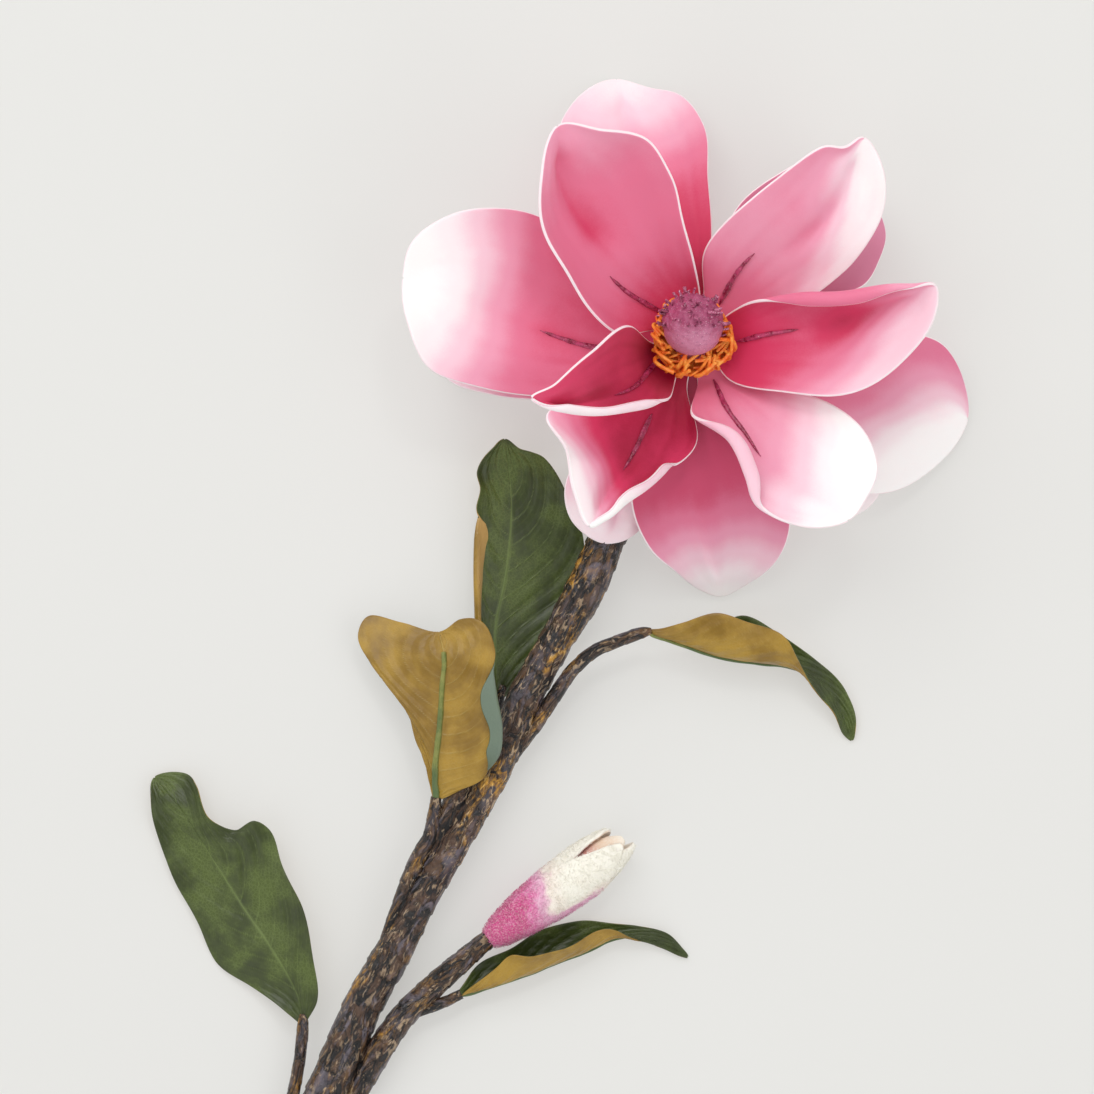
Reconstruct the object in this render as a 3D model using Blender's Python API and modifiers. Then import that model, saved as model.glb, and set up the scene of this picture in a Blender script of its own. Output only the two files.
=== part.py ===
"""Saucer magnolia branch, lying on a table with its open flower facing up.

Lengths are in millimetres until a mesh is made. The working frame has its origin on the
table below the middle of the flower; the branch runs away towards -Y. At the end the
whole branch is moved so that the middle of its underside is the world origin.
"""
import math
from typing import NamedTuple

import bmesh
import bpy
from mathutils import Euler, Vector

MM = 0.001                    # metres in a millimetre
GAP = 0.3                     # clearance between pieces that touch

FLOWER_HEIGHT = 36.0          # receptacle top above the table
PETAL_THICKNESS = 1.2
LEAF_THICKNESS = 0.6
PETAL_GRID = (11, 8)          # faces along and across a petal
LEAF_GRID = (12, 8)
TIP_CUT = 0.985               # blades stop here, so that the tip is a short edge
PATH_STEPS = 12               # samples on each span of a smooth path

RIB_RADIUS = 0.6
RIB_STEPS = 6                 # spans along a rib
LEAST_LENGTH = 1e-6           # below this a direction counts as none
MIDRIB_RADIUS = 0.6
MIDRIB_STEPS = 8
MIDRIB_START = 0.06           # along the leaf
MIDRIB_RUN = 0.8
HEART_LEAN = math.radians(24)  # lean of the seed cone towards +Y
HEART_SHIFT = 2.2             # the cone and stamens sit off centre, towards +Y

COLLECTION = "saucer_magnolia_branch"


class Finish(NamedTuple):
    """Colour (linear), roughness and metallic value of one material."""
    name: str
    colour: tuple
    roughness: float


INNER_FOAM = Finish("rose_foam", (0.62, 0.13, 0.28), 0.6)
OUTER_FOAM = Finish("pale_foam", (0.85, 0.45, 0.60), 0.6)
RIB_GLUE = Finish("wine_rib", (0.25, 0.03, 0.10), 0.3)
LEAF_CLOTH = Finish("green_leaf", (0.05, 0.09, 0.035), 0.5)
MIDRIB_WIRE = Finish("leaf_wire", (0.10, 0.16, 0.07), 0.5)
BARK_WRAP = Finish("brown_wrap", (0.05, 0.03, 0.025), 0.35)
CONE_FLOCK = Finish("mauve_cone", (0.38, 0.12, 0.24), 0.6)
STAMEN_ORANGE = Finish("orange_stamens", (0.80, 0.25, 0.04), 0.5)
BUD_FLOCK = Finish("pink_bud", (0.80, 0.45, 0.55), 0.9)


class Tier(NamedTuple):
    """Where a ring of petals meets the receptacle."""
    radius: float
    drop: float


INNER = Tier(5.6, -1.5)
MIDDLE = Tier(6.4, -3.6)
OUTER = Tier(7.2, -5.7)
UNDER = Tier(8.0, -7.8)
CLAW_HALF_WIDTH = 2.6
RECEPTACLE_DEPTH = 9.4        # from the receptacle plane to its foot


class Blade(NamedTuple):
    """A petal or leaf: its two edges and its spine run from the base to the tip."""
    base: tuple
    left: list
    spine: list
    right: list
    tip: tuple
    roll: tuple = (0.0, 0.0)   # how far the left and right sides bulge before their edge


def petal(tier, claw, left, spine, right, tip, roll=(0.0, 0.0)):
    """A petal blade whose base is the foot of its claw on the receptacle."""
    angle = math.radians(claw)
    out = Vector((math.cos(angle), math.sin(angle), 0))
    across = Vector((-out.y, out.x, 0)) * CLAW_HALF_WIDTH
    foot = out * tier.radius + Vector((0, 0, tier.drop))
    return Blade((foot + across, foot, foot - across), left, spine, right, tip, roll)


def leaf(base, left, spine, right, tip, roll=(0.0, 0.0)):
    """A leaf blade that starts from a short edge at its twig."""
    foot = Vector(base)
    along = (Vector(spine[0]) - foot).normalized()
    across = Vector((-along.y, along.x, 0)) * 0.8
    return Blade((foot + across, foot, foot - across), left, spine, right, tip, roll)


# Petals, about the top of the receptacle. Left is the anticlockwise edge, seen from above.
PETALS = {
    "inner_petal_upper_left": petal(
        INNER, 113,
        left=[(-11, 5, -1), (-25, 4, 14), (-40, 21, 27), (-47, 35, 33), (-48, 51, 36)],
        spine=[(-6, 11, -1.2), (-12, 17, 2), (-26, 30, 12), (-38, 46, 22)],
        right=[(2, 13, -1.2), (0, 26, 11), (-4, 40, 20), (-8, 53, 27), (-15, 64, 31), (-29, 67, 34)],
        tip=(-43, 68, 34)),
    "inner_petal_right": petal(
        INNER, 5,
        left=[(10, 8, -0.9), (21, 14, 14), (36, 16, 25), (54, 17, 31), (68, 18, 33)],
        spine=[(12, 0, -1.2), (24, 2, 7), (46, 5, 17), (64, 12, 26)],
        right=[(12, -11, 1), (29, -15, 12), (47, -16, 19), (63, -8, 24), (75, 6, 29)],
        tip=(76, 18, 31), roll=(4, 0)),
    "inner_petal_lower_left": petal(
        INNER, 200,
        left=[(-6, -12, 1), (-10, -19, 22), (-26, -23, 38), (-41, -23, 49)],
        spine=[(-12, -4, -1), (-19, -11, 16), (-30, -17, 36), (-42, -20, 49)],
        right=[(-12, 0, -0.5), (-22, 5, 26), (-33, -4, 41), (-44, -14, 52)],
        tip=(-51, -18, 56)),
    "middle_petal_left": petal(
        MIDDLE, 169,
        left=[(-17, -7, -4), (-33, -14, -3), (-49, -16, 0), (-69, -13, 4), (-84, -7, 7), (-91, 8, 8)],
        spine=[(-13, 2, -4), (-29, -1, -3), (-50, 5, 0), (-74, 16, 4)],
        right=[(-13, 10, -3.5), (-29, 27, -3), (-48, 40, 1), (-63, 43, 6), (-76, 41, 9), (-89, 32, 9)],
        tip=(-92, 21, 7)),
    "middle_petal_upper_right": petal(
        MIDDLE, 48,
        left=[(4, 15, -3), (4, 29, 5), (11, 39, 10), (26, 51, 17), (41, 62, 21), (48, 62, 20)],
        spine=[(10, 10, -3.4), (23, 23, 2), (37, 34, 8), (47, 46, 12)],
        right=[(16, 7, -3.4), (33, 13, -1), (44, 20, 2), (52, 28, 6), (60, 42, 11), (60, 55, 16)],
        tip=(54, 65, 18)),
    "middle_petal_lower_right": petal(
        MIDDLE, 305,
        left=[(14, -11, -3.4), (30, -15, 3), (43, -19, 8), (54, -28, 12), (58, -40, 15), (54, -50, 16)],
        spine=[(8, -11, -3.4), (15, -22, 4), (26, -36, 10), (38, -47, 14)],
        right=[(2, -13, -3), (0, -23, 9), (12, -30, 17), (17, -42, 19), (20, -52, 17), (35, -58, 16)],
        tip=(49, -56, 16), roll=(0, 6)),
    "middle_petal_bottom_left": petal(
        MIDDLE, 241,
        left=[(-2, -14, -3.6), (1, -31, -1), (-10, -42, 8), (-21, -51, 18), (-28, -56, 24)],
        spine=[(-6, -11, -3.6), (-13, -22, 1), (-20, -37, 10), (-28, -49, 20)],
        right=[(-12, -10, -3.4), (-29, -15, 6), (-46, -23, 18), (-40, -34, 22), (-38, -47, 25)],
        tip=(-33, -58, 27)),
    "outer_petal_top": petal(
        OUTER, 98,
        left=[(-6, 13, -6), (-20, 30, -8), (-34, 50, -14), (-42, 68, -22), (-38, 78, -28), (-31, 84, -32)],
        spine=[(-1, 14, -6), (-6, 38, -11), (-15, 62, -21)],
        right=[(4, 13, -6), (6, 34, -8), (5, 53, -15), (4, 70, -23), (-3, 80, -29), (-13, 83, -33)],
        tip=(-24, 86, -35)),
    "outer_petal_upper_right": petal(
        OUTER, 36,
        left=[(8, 13, -6), (9, 30, -7), (15, 44, -9), (27, 54, -13), (39, 59, -17)],
        spine=[(11, 9, -6), (28, 26, -9), (44, 42, -16)],
        right=[(15, 6, -6), (35, 14, -8), (54, 19, -12), (60, 28, -17), (62, 37, -20)],
        tip=(55, 51, -22)),
    "outer_petal_right": petal(
        OUTER, 346,
        left=[(14, 2, -6), (35, 7, -8), (57, 8, -14), (71, 4, -19), (81, 0, -25), (87, -10, -30)],
        spine=[(14, -4, -6), (38, -13, -10), (63, -19, -20)],
        right=[(12, -9, -6), (28, -27, -11), (46, -43, -17), (57, -47, -22), (70, -44, -28), (83, -34, -32)],
        tip=(89, -23, -33)),
    "outer_petal_bottom": petal(
        OUTER, 275,
        left=[(7, -14, -6), (22, -30, -10), (30, -46, -15), (31, -59, -21), (27, -69, -27), (18, -76, -32)],
        spine=[(1, -15, -6), (3, -37, -10), (5, -59, -20)],
        right=[(-4, -14, -6), (-14, -30, -6), (-19, -48, -8), (-14, -64, -13), (-5, -72, -22), (3, -78, -31)],
        tip=(10, -80, -34)),
    "outer_petal_left": petal(
        OUTER, 187,
        left=[(-13, -6, -6), (-29, -16, -9), (-47, -17, -13), (-65, -15, -20), (-77, -11, -27)],
        spine=[(-14, -2, -6), (-39, -2, -12), (-61, 0, -21)],
        right=[(-13, 5, -6), (-33, 14, -10), (-52, 18, -15), (-71, 14, -25)],
        tip=(-84, 0, -33)),
    "under_petal_lower_right": petal(
        UNDER, 317,
        left=[(14, -8, -8), (35, -18, -13), (52, -32, -22), (61, -44, -29)],
        spine=[(11, -11, -8), (30, -27, -15), (46, -43, -25)],
        right=[(6, -14, -8), (14, -30, -14), (28, -46, -22), (43, -54, -31)],
        tip=(55, -53, -34)),
    "under_petal_bottom_left": petal(
        UNDER, 247,
        left=[(-3, -15, -8.4), (-8, -30, -12), (-13, -46, -15), (-17, -59, -16)],
        spine=[(-6, -14, -8.2), (-15, -30, -10), (-22, -48, -12.5)],
        right=[(-12, -11, -8), (-28, -26, -9), (-40, -44, -10), (-38, -56, -12.5)],
        tip=(-28, -63, -14.5)),
}

# Raised ribs: petal, where the rib starts and ends along it, and its place across it
RIBS = {
    "inner_petal_upper_left": (0.12, 0.38, -0.32),
    "inner_petal_right": (0.12, 0.40, -0.06),
    "inner_petal_lower_left": (0.17, 0.54, -0.06),
    "middle_petal_left": (0.21, 0.48, 0.00),
    "middle_petal_upper_right": (0.13, 0.38, -0.35),
    "middle_petal_lower_right": (0.12, 0.53, 0.12),
    "middle_petal_bottom_left": (0.30, 0.62, 0.00),
}

# Leaves, about the point of the table below the flower
LEAVES = {
    "leaf_right": leaf(
        (-14, -92, 15),
        left=[(-10, -91, 16), (-2, -89, 18), (8, -86, 20), (18, -89, 20), (29, -93, 18),
              (34, -100, 15), (38, -108, 11), (45, -118, 6)],
        spine=[(-9, -94, 14.5), (7, -99, 13.5), (21, -101, 12), (32, -103, 9.5), (41, -108, 6),
               (48, -117, 3)],
        right=[(-9, -92, 13), (-1, -91, 11), (8, -90, 10), (17, -87, 9), (27, -92, 8),
               (40, -101, 6), (49, -110, 4), (53, -122, 2.5)],
        tip=(52, -127, 1)),
    "leaf_upper": leaf(
        (-62, -114, 4.6),
        left=[(-66, -107, 6), (-69, -94, 8), (-68, -82, 10), (-66, -71, 11), (-68, -59, 11),
              (-68, -50, 12), (-67, -38, 13)],
        spine=[(-63, -102, 4), (-63, -89, 4), (-60, -75, 4.5), (-58, -59, 6), (-58, -46, 8)],
        right=[(-57, -110, 3.5), (-46, -98, 3), (-36, -78, 3.2), (-35, -62, 4.5), (-41, -46, 7.5),
               (-50, -36, 11)],
        tip=(-60, -30, 12.5), roll=(4, 0)),
    "leaf_front": leaf(
        (-82, -146, 13),
        left=[(-84, -141, 13), (-87, -128, 13.5), (-94, -114, 13), (-103, -102, 11),
              (-107, -94, 9), (-104, -87, 8), (-93, -89, 11)],
        spine=[(-82, -136, 14.5), (-81, -125, 16.5), (-80, -110, 18.5), (-79, -100, 19)],
        right=[(-75, -143, 15), (-67, -139, 18), (-62, -132, 20.5), (-61, -122, 22),
               (-63, -110, 22.5), (-63, -98, 22.5), (-67, -89, 21), (-74, -88, 18)],
        tip=(-81, -92, 15), roll=(0, 4)),
    "leaf_lower_left": leaf(
        (-125, -218, 8),
        left=[(-133, -212, 6), (-142, -206, 3), (-153, -199, 2), (-159, -185, 1.5),
              (-166, -173, 2), (-171, -160, 3.5), (-174, -148, 4.5)],
        spine=[(-127, -208, 8), (-135, -194, 7), (-145, -180, 5.5), (-155, -164, 4.5),
               (-163, -151, 4)],
        right=[(-121, -211, 10), (-122, -197, 11), (-125, -181, 10.5), (-132, -167, 10),
               (-136, -156, 9.5), (-141, -153, 9), (-147, -156, 6.5), (-155, -152, 7),
               (-159, -142, 6), (-163, -138, 4)],
        tip=(-173, -139, 2.5)),
    "leaf_under_bud": leaf(
        (-75, -209, 8),
        left=[(-72, -204, 7.5), (-67, -199, 6), (-58, -194, 5), (-48, -188, 4), (-38, -186, 3.5),
              (-28, -186, 3.5), (-17, -187, 3), (-7, -190, 2)],
        spine=[(-70, -208, 7), (-54, -202, 6), (-44, -198, 5), (-33, -194.5, 4.5), (-23, -190.5, 4.2),
               (-12, -191.5, 3)],
        right=[(-70, -206, 9), (-63, -201, 12), (-58, -196, 13), (-51, -196, 13), (-38, -193, 12),
               (-27, -188, 8.5), (-18, -190.5, 5), (-8, -194.5, 2)],
        tip=(-1, -197, 1)),
}
FACE_DOWN = ("leaf_right", "leaf_front")   # leaves that show their underside

# Wrapped wood: the middle line and its radius at each point
TWIGS = {
    "bud_branch": ([(-102, -231, 8), (-99, -223, 8), (-92, -215, 8), (-84, -207, 8.5),
                    (-75, -199, 9), (-66, -191, 9)], [3.2, 3.6, 3.9, 3.8, 3.5, 3.0]),
    "twig_right": ([(-47, -121, 12), (-43, -111, 13), (-38, -104, 14), (-31, -98, 15),
                    (-24, -95, 15.5), (-15, -92, 15.5)], [2.1] * 6),
    "twig_upper": ([(-63, -123, 7), (-62, -114.8, 4.8)], [1.7, 1.5]),
    "twig_front": ([(-92, -172, 10), (-87, -165, 10.5), (-84, -158, 11), (-83, -152, 12),
                    (-82, -147, 13)], [1.8, 1.9, 2.0, 2.0, 1.9]),
    "twig_lower_left": ([(-132, -250, 7), (-128, -240, 7), (-126, -229, 7.5), (-125, -219, 8)],
                        [2.0, 2.0, 1.9, 1.9]),
    "twig_under_bud": ([(-82, -213, 8), (-78, -211, 8), (-76, -209.5, 8)], [1.6, 1.5, 1.5]),
}
STEM = [(-145, -300, 7), (-132, -272, 7), (-117, -240, 7.2), (-106, -213, 8), (-97, -197, 9),
        (-88, -180, 9.8), (-76, -160, 10.5), (-61, -133, 11.3), (-54, -114, 12), (-43, -94, 12.2),
        (-34, -78, 12.5), (-27, -62, 12.8), (-17, -42, 13)]
STEM_RADII = [7.0, 7.0, 7.0, 6.2, 6.1, 5.3, 4.8, 4.8, 5.6, 5.4, 6.4, 5.8, 5.7]
STEM_BEND = 13.0              # radius of the bend that turns the stem up into the flower
STEM_NECK = 1.5               # straight end below the receptacle
BEND_STEPS = 5
BEND_RADII = [5.7, 5.8, 6.0, 6.1, 6.2, 6.2, 6.2]   # one at each step of the bend, and the neck's end

BUD_BASE = Vector((-65.4, -190.6, 9))
BUD_TIP = Vector((-20, -158, 9))
BUD_GIRTH = [(0.0, 3.0), (0.12, 5.4), (0.3, 7.2), (0.52, 8.4), (0.7, 8.2), (0.88, 5.8), (1.0, 2.4)]
BUD_GRID = (10, 8)            # faces along and round a bud petal
BUD_HALF_ANGLE = 82           # degrees that a bud petal reaches each way at its base
BUD_NARROWING = 40            # degrees lost by its tip
BUD_LEAST_RADIUS = 0.9
# Bud petals: the way each faces round the bud in degrees, its inset, where it starts and ends
BUD_LAYERS = (("bud_outer_petal_near", 30, 0.0, 0.0, 1.0),
              ("bud_outer_petal_far", 210, 0.0, 0.0, 0.96),
              ("bud_inner_petal_upper", 120, 2.0, 0.2, 0.76),
              ("bud_inner_petal_lower", 300, 2.0, 0.2, 0.72))


def clear_scene():
    """Remove everything that a new file holds."""
    for thing in list(bpy.data.objects):
        bpy.data.objects.remove(thing, do_unlink=True)


def material_for(finish):
    """The material of a finish, made once."""
    material = bpy.data.materials.get(finish.name)
    if material is None:
        material = bpy.data.materials.new(finish.name)
        material.use_nodes = True
        shader = material.node_tree.nodes["Principled BSDF"]
        shader.inputs["Base Color"].default_value = (*finish.colour, 1.0)
        shader.inputs["Roughness"].default_value = finish.roughness
        shader.inputs["Metallic"].default_value = 0.0
    return material


def add_piece(name, data, finish, parent):
    """Put a mesh or curve in the branch's collection as one named piece."""
    data.materials.append(material_for(finish))
    piece = bpy.data.objects.new(name, data)
    bpy.data.collections[COLLECTION].objects.link(piece)
    piece.parent = parent
    return piece


def add_empty(name, place, parent=None, turn=(0.0, 0.0, 0.0)):
    """A frame that pieces are placed in."""
    empty = bpy.data.objects.new(name, None)
    bpy.data.collections[COLLECTION].objects.link(empty)
    empty.location = Vector(place) * MM
    empty.rotation_euler = Euler(turn)
    empty.parent = parent
    return empty


def smooth_path(points):
    """A smooth curve through points, with even speed across uneven spans."""
    knots = [Vector(point) for point in points]
    spans = [math.sqrt((b - a).length) for a, b in zip(knots, knots[1:])]
    slopes = [(b - a) / span for a, b, span in zip(knots, knots[1:], spans)]
    tangents = [slopes[0]]
    for before, after, left, right in zip(slopes, slopes[1:], spans, spans[1:]):
        tangents.append((before * right + after * left) / (left + right))
    tangents.append(slopes[-1])
    path = []
    for index, span in enumerate(spans):
        for step in range(PATH_STEPS):
            t = step / PATH_STEPS
            path.append(knots[index] * (2 * t**3 - 3 * t**2 + 1)
                        + tangents[index] * (span * (t**3 - 2 * t**2 + t))
                        + knots[index + 1] * (3 * t**2 - 2 * t**3)
                        + tangents[index + 1] * (span * (t**3 - t**2)))
    path.append(knots[-1])
    return path


def along(path, fraction):
    """The point at a fraction of a path's length."""
    lengths = [(b - a).length for a, b in zip(path, path[1:])]
    left = max(0.0, min(1.0, fraction)) * sum(lengths)
    for start, end, length in zip(path, path[1:], lengths):
        if left <= length and length > 0:
            return start.lerp(end, left / length)
        left -= length
    return path[-1].copy()


def blade_surface(blade):
    """A function (along, across) -> point of the blade's middle surface."""
    base_left, base_middle, base_right = blade.base
    outline = smooth_path([base_left, *blade.left, blade.tip, *reversed(blade.right), base_right])
    turn = (len(blade.left) + 1) * PATH_STEPS
    left, right = outline[:turn + 1], outline[turn:][::-1]
    spine = smooth_path([base_middle, *blade.spine, blade.tip])

    def point(u, v):
        middle = along(spine, u)
        to_left, to_right = along(left, u) - middle, along(right, u) - middle
        tangent = to_right.normalized() - to_left.normalized()
        if tangent.length < LEAST_LENGTH:
            tangent = to_right - to_left
        tangent.normalize()
        edge, bulge = (to_left, blade.roll[0]) if v < 0 else (to_right, blade.roll[1])
        reach = 0.5 * edge.length + bulge * math.sin(math.pi * u)
        handle = tangent * math.copysign(reach, v)
        t = abs(v)
        return middle + handle * (2 * t * (1 - t)) + edge * (t * t)

    return point


def blade_normal(point, u, v):
    """The direction out of the blade's upper face."""
    step = 0.02
    lengthwise = point(min(u + step, TIP_CUT), v) - point(u - step, v)
    crosswise = point(u, min(v + step, 1.0)) - point(u, max(v - step, -1.0))
    return crosswise.cross(lengthwise).normalized()


def add_blade(name, blade, grid, thickness, finish, parent):
    """A thin curved shell: a grid laid on the blade's surface, then thickened."""
    point = blade_surface(blade)
    rows, columns = grid
    shell = bmesh.new()
    bmesh.ops.create_grid(shell, x_segments=columns, y_segments=rows, size=1.0)
    for vertex in shell.verts:
        u = (vertex.co.y + 1) / 2 * TIP_CUT
        vertex.co = point(u, vertex.co.x) * MM
    data = bpy.data.meshes.new(name)
    shell.to_mesh(data)
    shell.free()
    data.shade_smooth()
    piece = add_piece(name, data, finish, parent)
    solidify = piece.modifiers.new("thickness", "SOLIDIFY")
    solidify.thickness = thickness * MM
    solidify.offset = 0.0
    return piece


def add_tube(name, points, radii, finish, parent, sides=4):
    """A round wire or twig along points, with its own radius at each."""
    data = bpy.data.curves.new(name, "CURVE")
    data.dimensions = "3D"
    data.bevel_depth = MM
    data.bevel_resolution = sides
    data.use_fill_caps = True
    spline = data.splines.new("POLY")
    spline.points.add(len(points) - 1)
    for knot, point, radius in zip(spline.points, points, radii):
        knot.co = (*(Vector(point) * MM), 1.0)
        knot.radius = radius
    return add_piece(name, data, finish, parent)


def add_turned(name, profile, finish, parent, steps=20):
    """A piece turned about Z from a profile of (radius, height), listed top to bottom."""
    data = bpy.data.meshes.new(name)
    points = [(radius * MM, 0, height * MM) for radius, height in profile]
    edges = [(index, index + 1) for index in range(len(points) - 1)]
    data.from_pydata(points, edges, [])
    piece = add_piece(name, data, finish, parent)
    screw = piece.modifiers.new("turn", "SCREW")
    screw.steps = steps
    screw.render_steps = steps
    screw.use_merge_vertices = True
    screw.merge_threshold = 0.00001
    return piece


def add_petals(flower):
    """The fourteen petals and the ribs on their inner faces."""
    for name, blade in PETALS.items():
        finish = INNER_FOAM if name.startswith("inner") else OUTER_FOAM
        add_blade(name, blade, PETAL_GRID, PETAL_THICKNESS, finish, flower)
    lift = PETAL_THICKNESS / 2 + GAP + RIB_RADIUS
    for name, (start, end, across) in RIBS.items():
        point = blade_surface(PETALS[name])
        rib = []
        for step in range(RIB_STEPS + 1):
            u = start + (end - start) * step / RIB_STEPS
            rib.append(point(u, across) + blade_normal(point, u, across) * lift)
        add_tube(name.replace("petal", "rib"), rib, [RIB_RADIUS] * len(rib), RIB_GLUE, flower, 1)


def add_heart(flower):
    """The receptacle, the whorl of stamens and the seed cone."""
    add_turned("receptacle", [(0, 1.7), (4.6, 1.7), (4.6, -0.9), (5.3, -1.4), (6.1, -4.5),
                              (6.9, -6.6), (7.4, -8.7), (6.6, -RECEPTACLE_DEPTH), (0, -RECEPTACLE_DEPTH)],
               CONE_FLOCK, flower)
    whorl_centre = add_empty("whorl_centre", (0, HEART_SHIFT, 0), flower)
    add_turned("stamen_whorl", [(12.2, 6.0), (13.2, 5.6), (13.4, 4.2), (9.6, 0.3), (7.1, 0.3),
                                (7.1, 1.7), (9.0, 1.7), (11.2, 4.0), (12.2, 6.0)],
               STAMEN_ORANGE, whorl_centre)
    lean = add_empty("cone_lean", (0, HEART_SHIFT, 2.5), flower, (-HEART_LEAN, 0, 0))
    add_turned("seed_cone", [(0, 21.5), (3.2, 20.6), (6.2, 18.2), (8.5, 14.3), (9.6, 10),
                             (9.2, 6.5), (6.6, 2.8), (3.2, 0.6), (0, 0)],
               CONE_FLOCK, lean)


def add_leaves(branch):
    """The five leaves, each with the wire under its middle."""
    for name, blade in LEAVES.items():
        add_blade(name, blade, LEAF_GRID, LEAF_THICKNESS, LEAF_CLOTH, branch)
        point = blade_surface(blade)
        drop = LEAF_THICKNESS / 2 + GAP + MIDRIB_RADIUS
        side = 1 if name in FACE_DOWN else -1
        wire = []
        for step in range(MIDRIB_STEPS + 1):
            u = MIDRIB_START + MIDRIB_RUN * step / MIDRIB_STEPS
            wire.append(point(u, 0) + blade_normal(point, u, 0) * drop * side)
        add_tube(name + "_midrib", wire, [MIDRIB_RADIUS] * len(wire), MIDRIB_WIRE, branch, 1)


def add_wood(branch):
    """The main stem, which bends up into the flower, and the twigs that leave it."""
    heading = (Vector((0, 0, 0)) - Vector(STEM[-1])).to_2d().normalized()
    top = FLOWER_HEIGHT - RECEPTACLE_DEPTH - GAP - STEM_NECK
    bend = []
    for step in range(BEND_STEPS + 1):
        angle = math.radians(90) * step / BEND_STEPS
        back = STEM_BEND * (1 - math.sin(angle))
        bend.append((-heading.x * back, -heading.y * back, top - STEM_BEND * math.cos(angle)))
    bend.append((0, 0, top + STEM_NECK))
    points = smooth_path(STEM)[::PATH_STEPS // 2] + [Vector(point) for point in bend]
    radii = [along(smooth_path([(radius, 0, index) for index, radius in enumerate(STEM_RADII)]),
                   step / (2 * len(STEM) - 2)).x for step in range(2 * len(STEM) - 1)]
    add_tube("main_stem", points, radii + BEND_RADII, BARK_WRAP, branch)
    for name, (path, radii) in TWIGS.items():
        add_tube(name, path, radii, BARK_WRAP, branch, 3)


def bud_radius(fraction):
    """The bud's outer radius at a fraction of its length."""
    for (start, low), (end, high) in zip(BUD_GIRTH, BUD_GIRTH[1:]):
        if fraction <= end:
            t = (fraction - start) / (end - start)
            return low + (high - low) * (3 * t * t - 2 * t**3)
    return BUD_GIRTH[-1][1]


def add_bud(branch):
    """Two outer bud petals face each other, with two inner ones turned between them."""
    axis = (BUD_TIP - BUD_BASE)
    forward = axis.normalized()
    up = Vector((0, 0, 1))
    side = forward.cross(up)
    rows, columns = BUD_GRID
    for name, facing, inset, start, end in BUD_LAYERS:
        shell = bmesh.new()
        bmesh.ops.create_grid(shell, x_segments=columns, y_segments=rows, size=1.0)
        for vertex in shell.verts:
            u = start + (end - start) * (vertex.co.y + 1) / 2
            half_angle = math.radians(BUD_HALF_ANGLE - BUD_NARROWING * u**3)
            angle = math.radians(facing) + vertex.co.x * half_angle
            radius = max(bud_radius(u) - PETAL_THICKNESS / 2 - inset, BUD_LEAST_RADIUS)
            ring = side * math.cos(angle) + up * math.sin(angle)
            vertex.co = (BUD_BASE + axis * u + ring * radius) * MM
        data = bpy.data.meshes.new(name)
        shell.to_mesh(data)
        shell.free()
        data.shade_smooth()
        piece = add_piece(name, data, BUD_FLOCK, branch)
        solidify = piece.modifiers.new("thickness", "SOLIDIFY")
        solidify.thickness = PETAL_THICKNESS * MM
        solidify.offset = 0.0


def centre_on_origin(branch):
    """Move the whole branch so that the middle of its underside is the world origin."""
    bpy.context.view_layer.update()
    graph = bpy.context.evaluated_depsgraph_get()
    corners = []
    for piece in bpy.data.collections[COLLECTION].objects:
        if piece.type == "EMPTY":
            continue
        solid = piece.evaluated_get(graph)
        mesh = solid.to_mesh()
        corners.extend(piece.matrix_world @ vertex.co for vertex in mesh.vertices)
        solid.to_mesh_clear()
    low = Vector([min(corner[axis] for corner in corners) for axis in range(3)])
    high = Vector([max(corner[axis] for corner in corners) for axis in range(3)])
    branch.location = -Vector(((low.x + high.x) / 2, (low.y + high.y) / 2, low.z))


def main():
    """Build the whole branch."""
    clear_scene()
    bpy.context.scene.collection.children.link(bpy.data.collections.new(COLLECTION))
    branch = add_empty("branch", (0, 0, 0))
    flower = add_empty("flower", (0, 0, FLOWER_HEIGHT), branch)
    add_petals(flower)
    add_heart(flower)
    add_leaves(branch)
    add_wood(branch)
    add_bud(branch)
    centre_on_origin(branch)


main()
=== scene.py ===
"""The looks of a saucer magnolia branch that lies on a table with its flower facing up.

Shapes are laid out in millimetres about the point of the table below the flower, and are
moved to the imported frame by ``world``. Each sub-assembly is a class that builds and dresses
its own meshes; each finish is a frozen dataclass that makes its own material.
"""

import logging
import math
from dataclasses import dataclass, field
from enum import Enum

import bmesh
import bpy
import numpy as np
from mathutils import Matrix, Vector, noise

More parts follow.
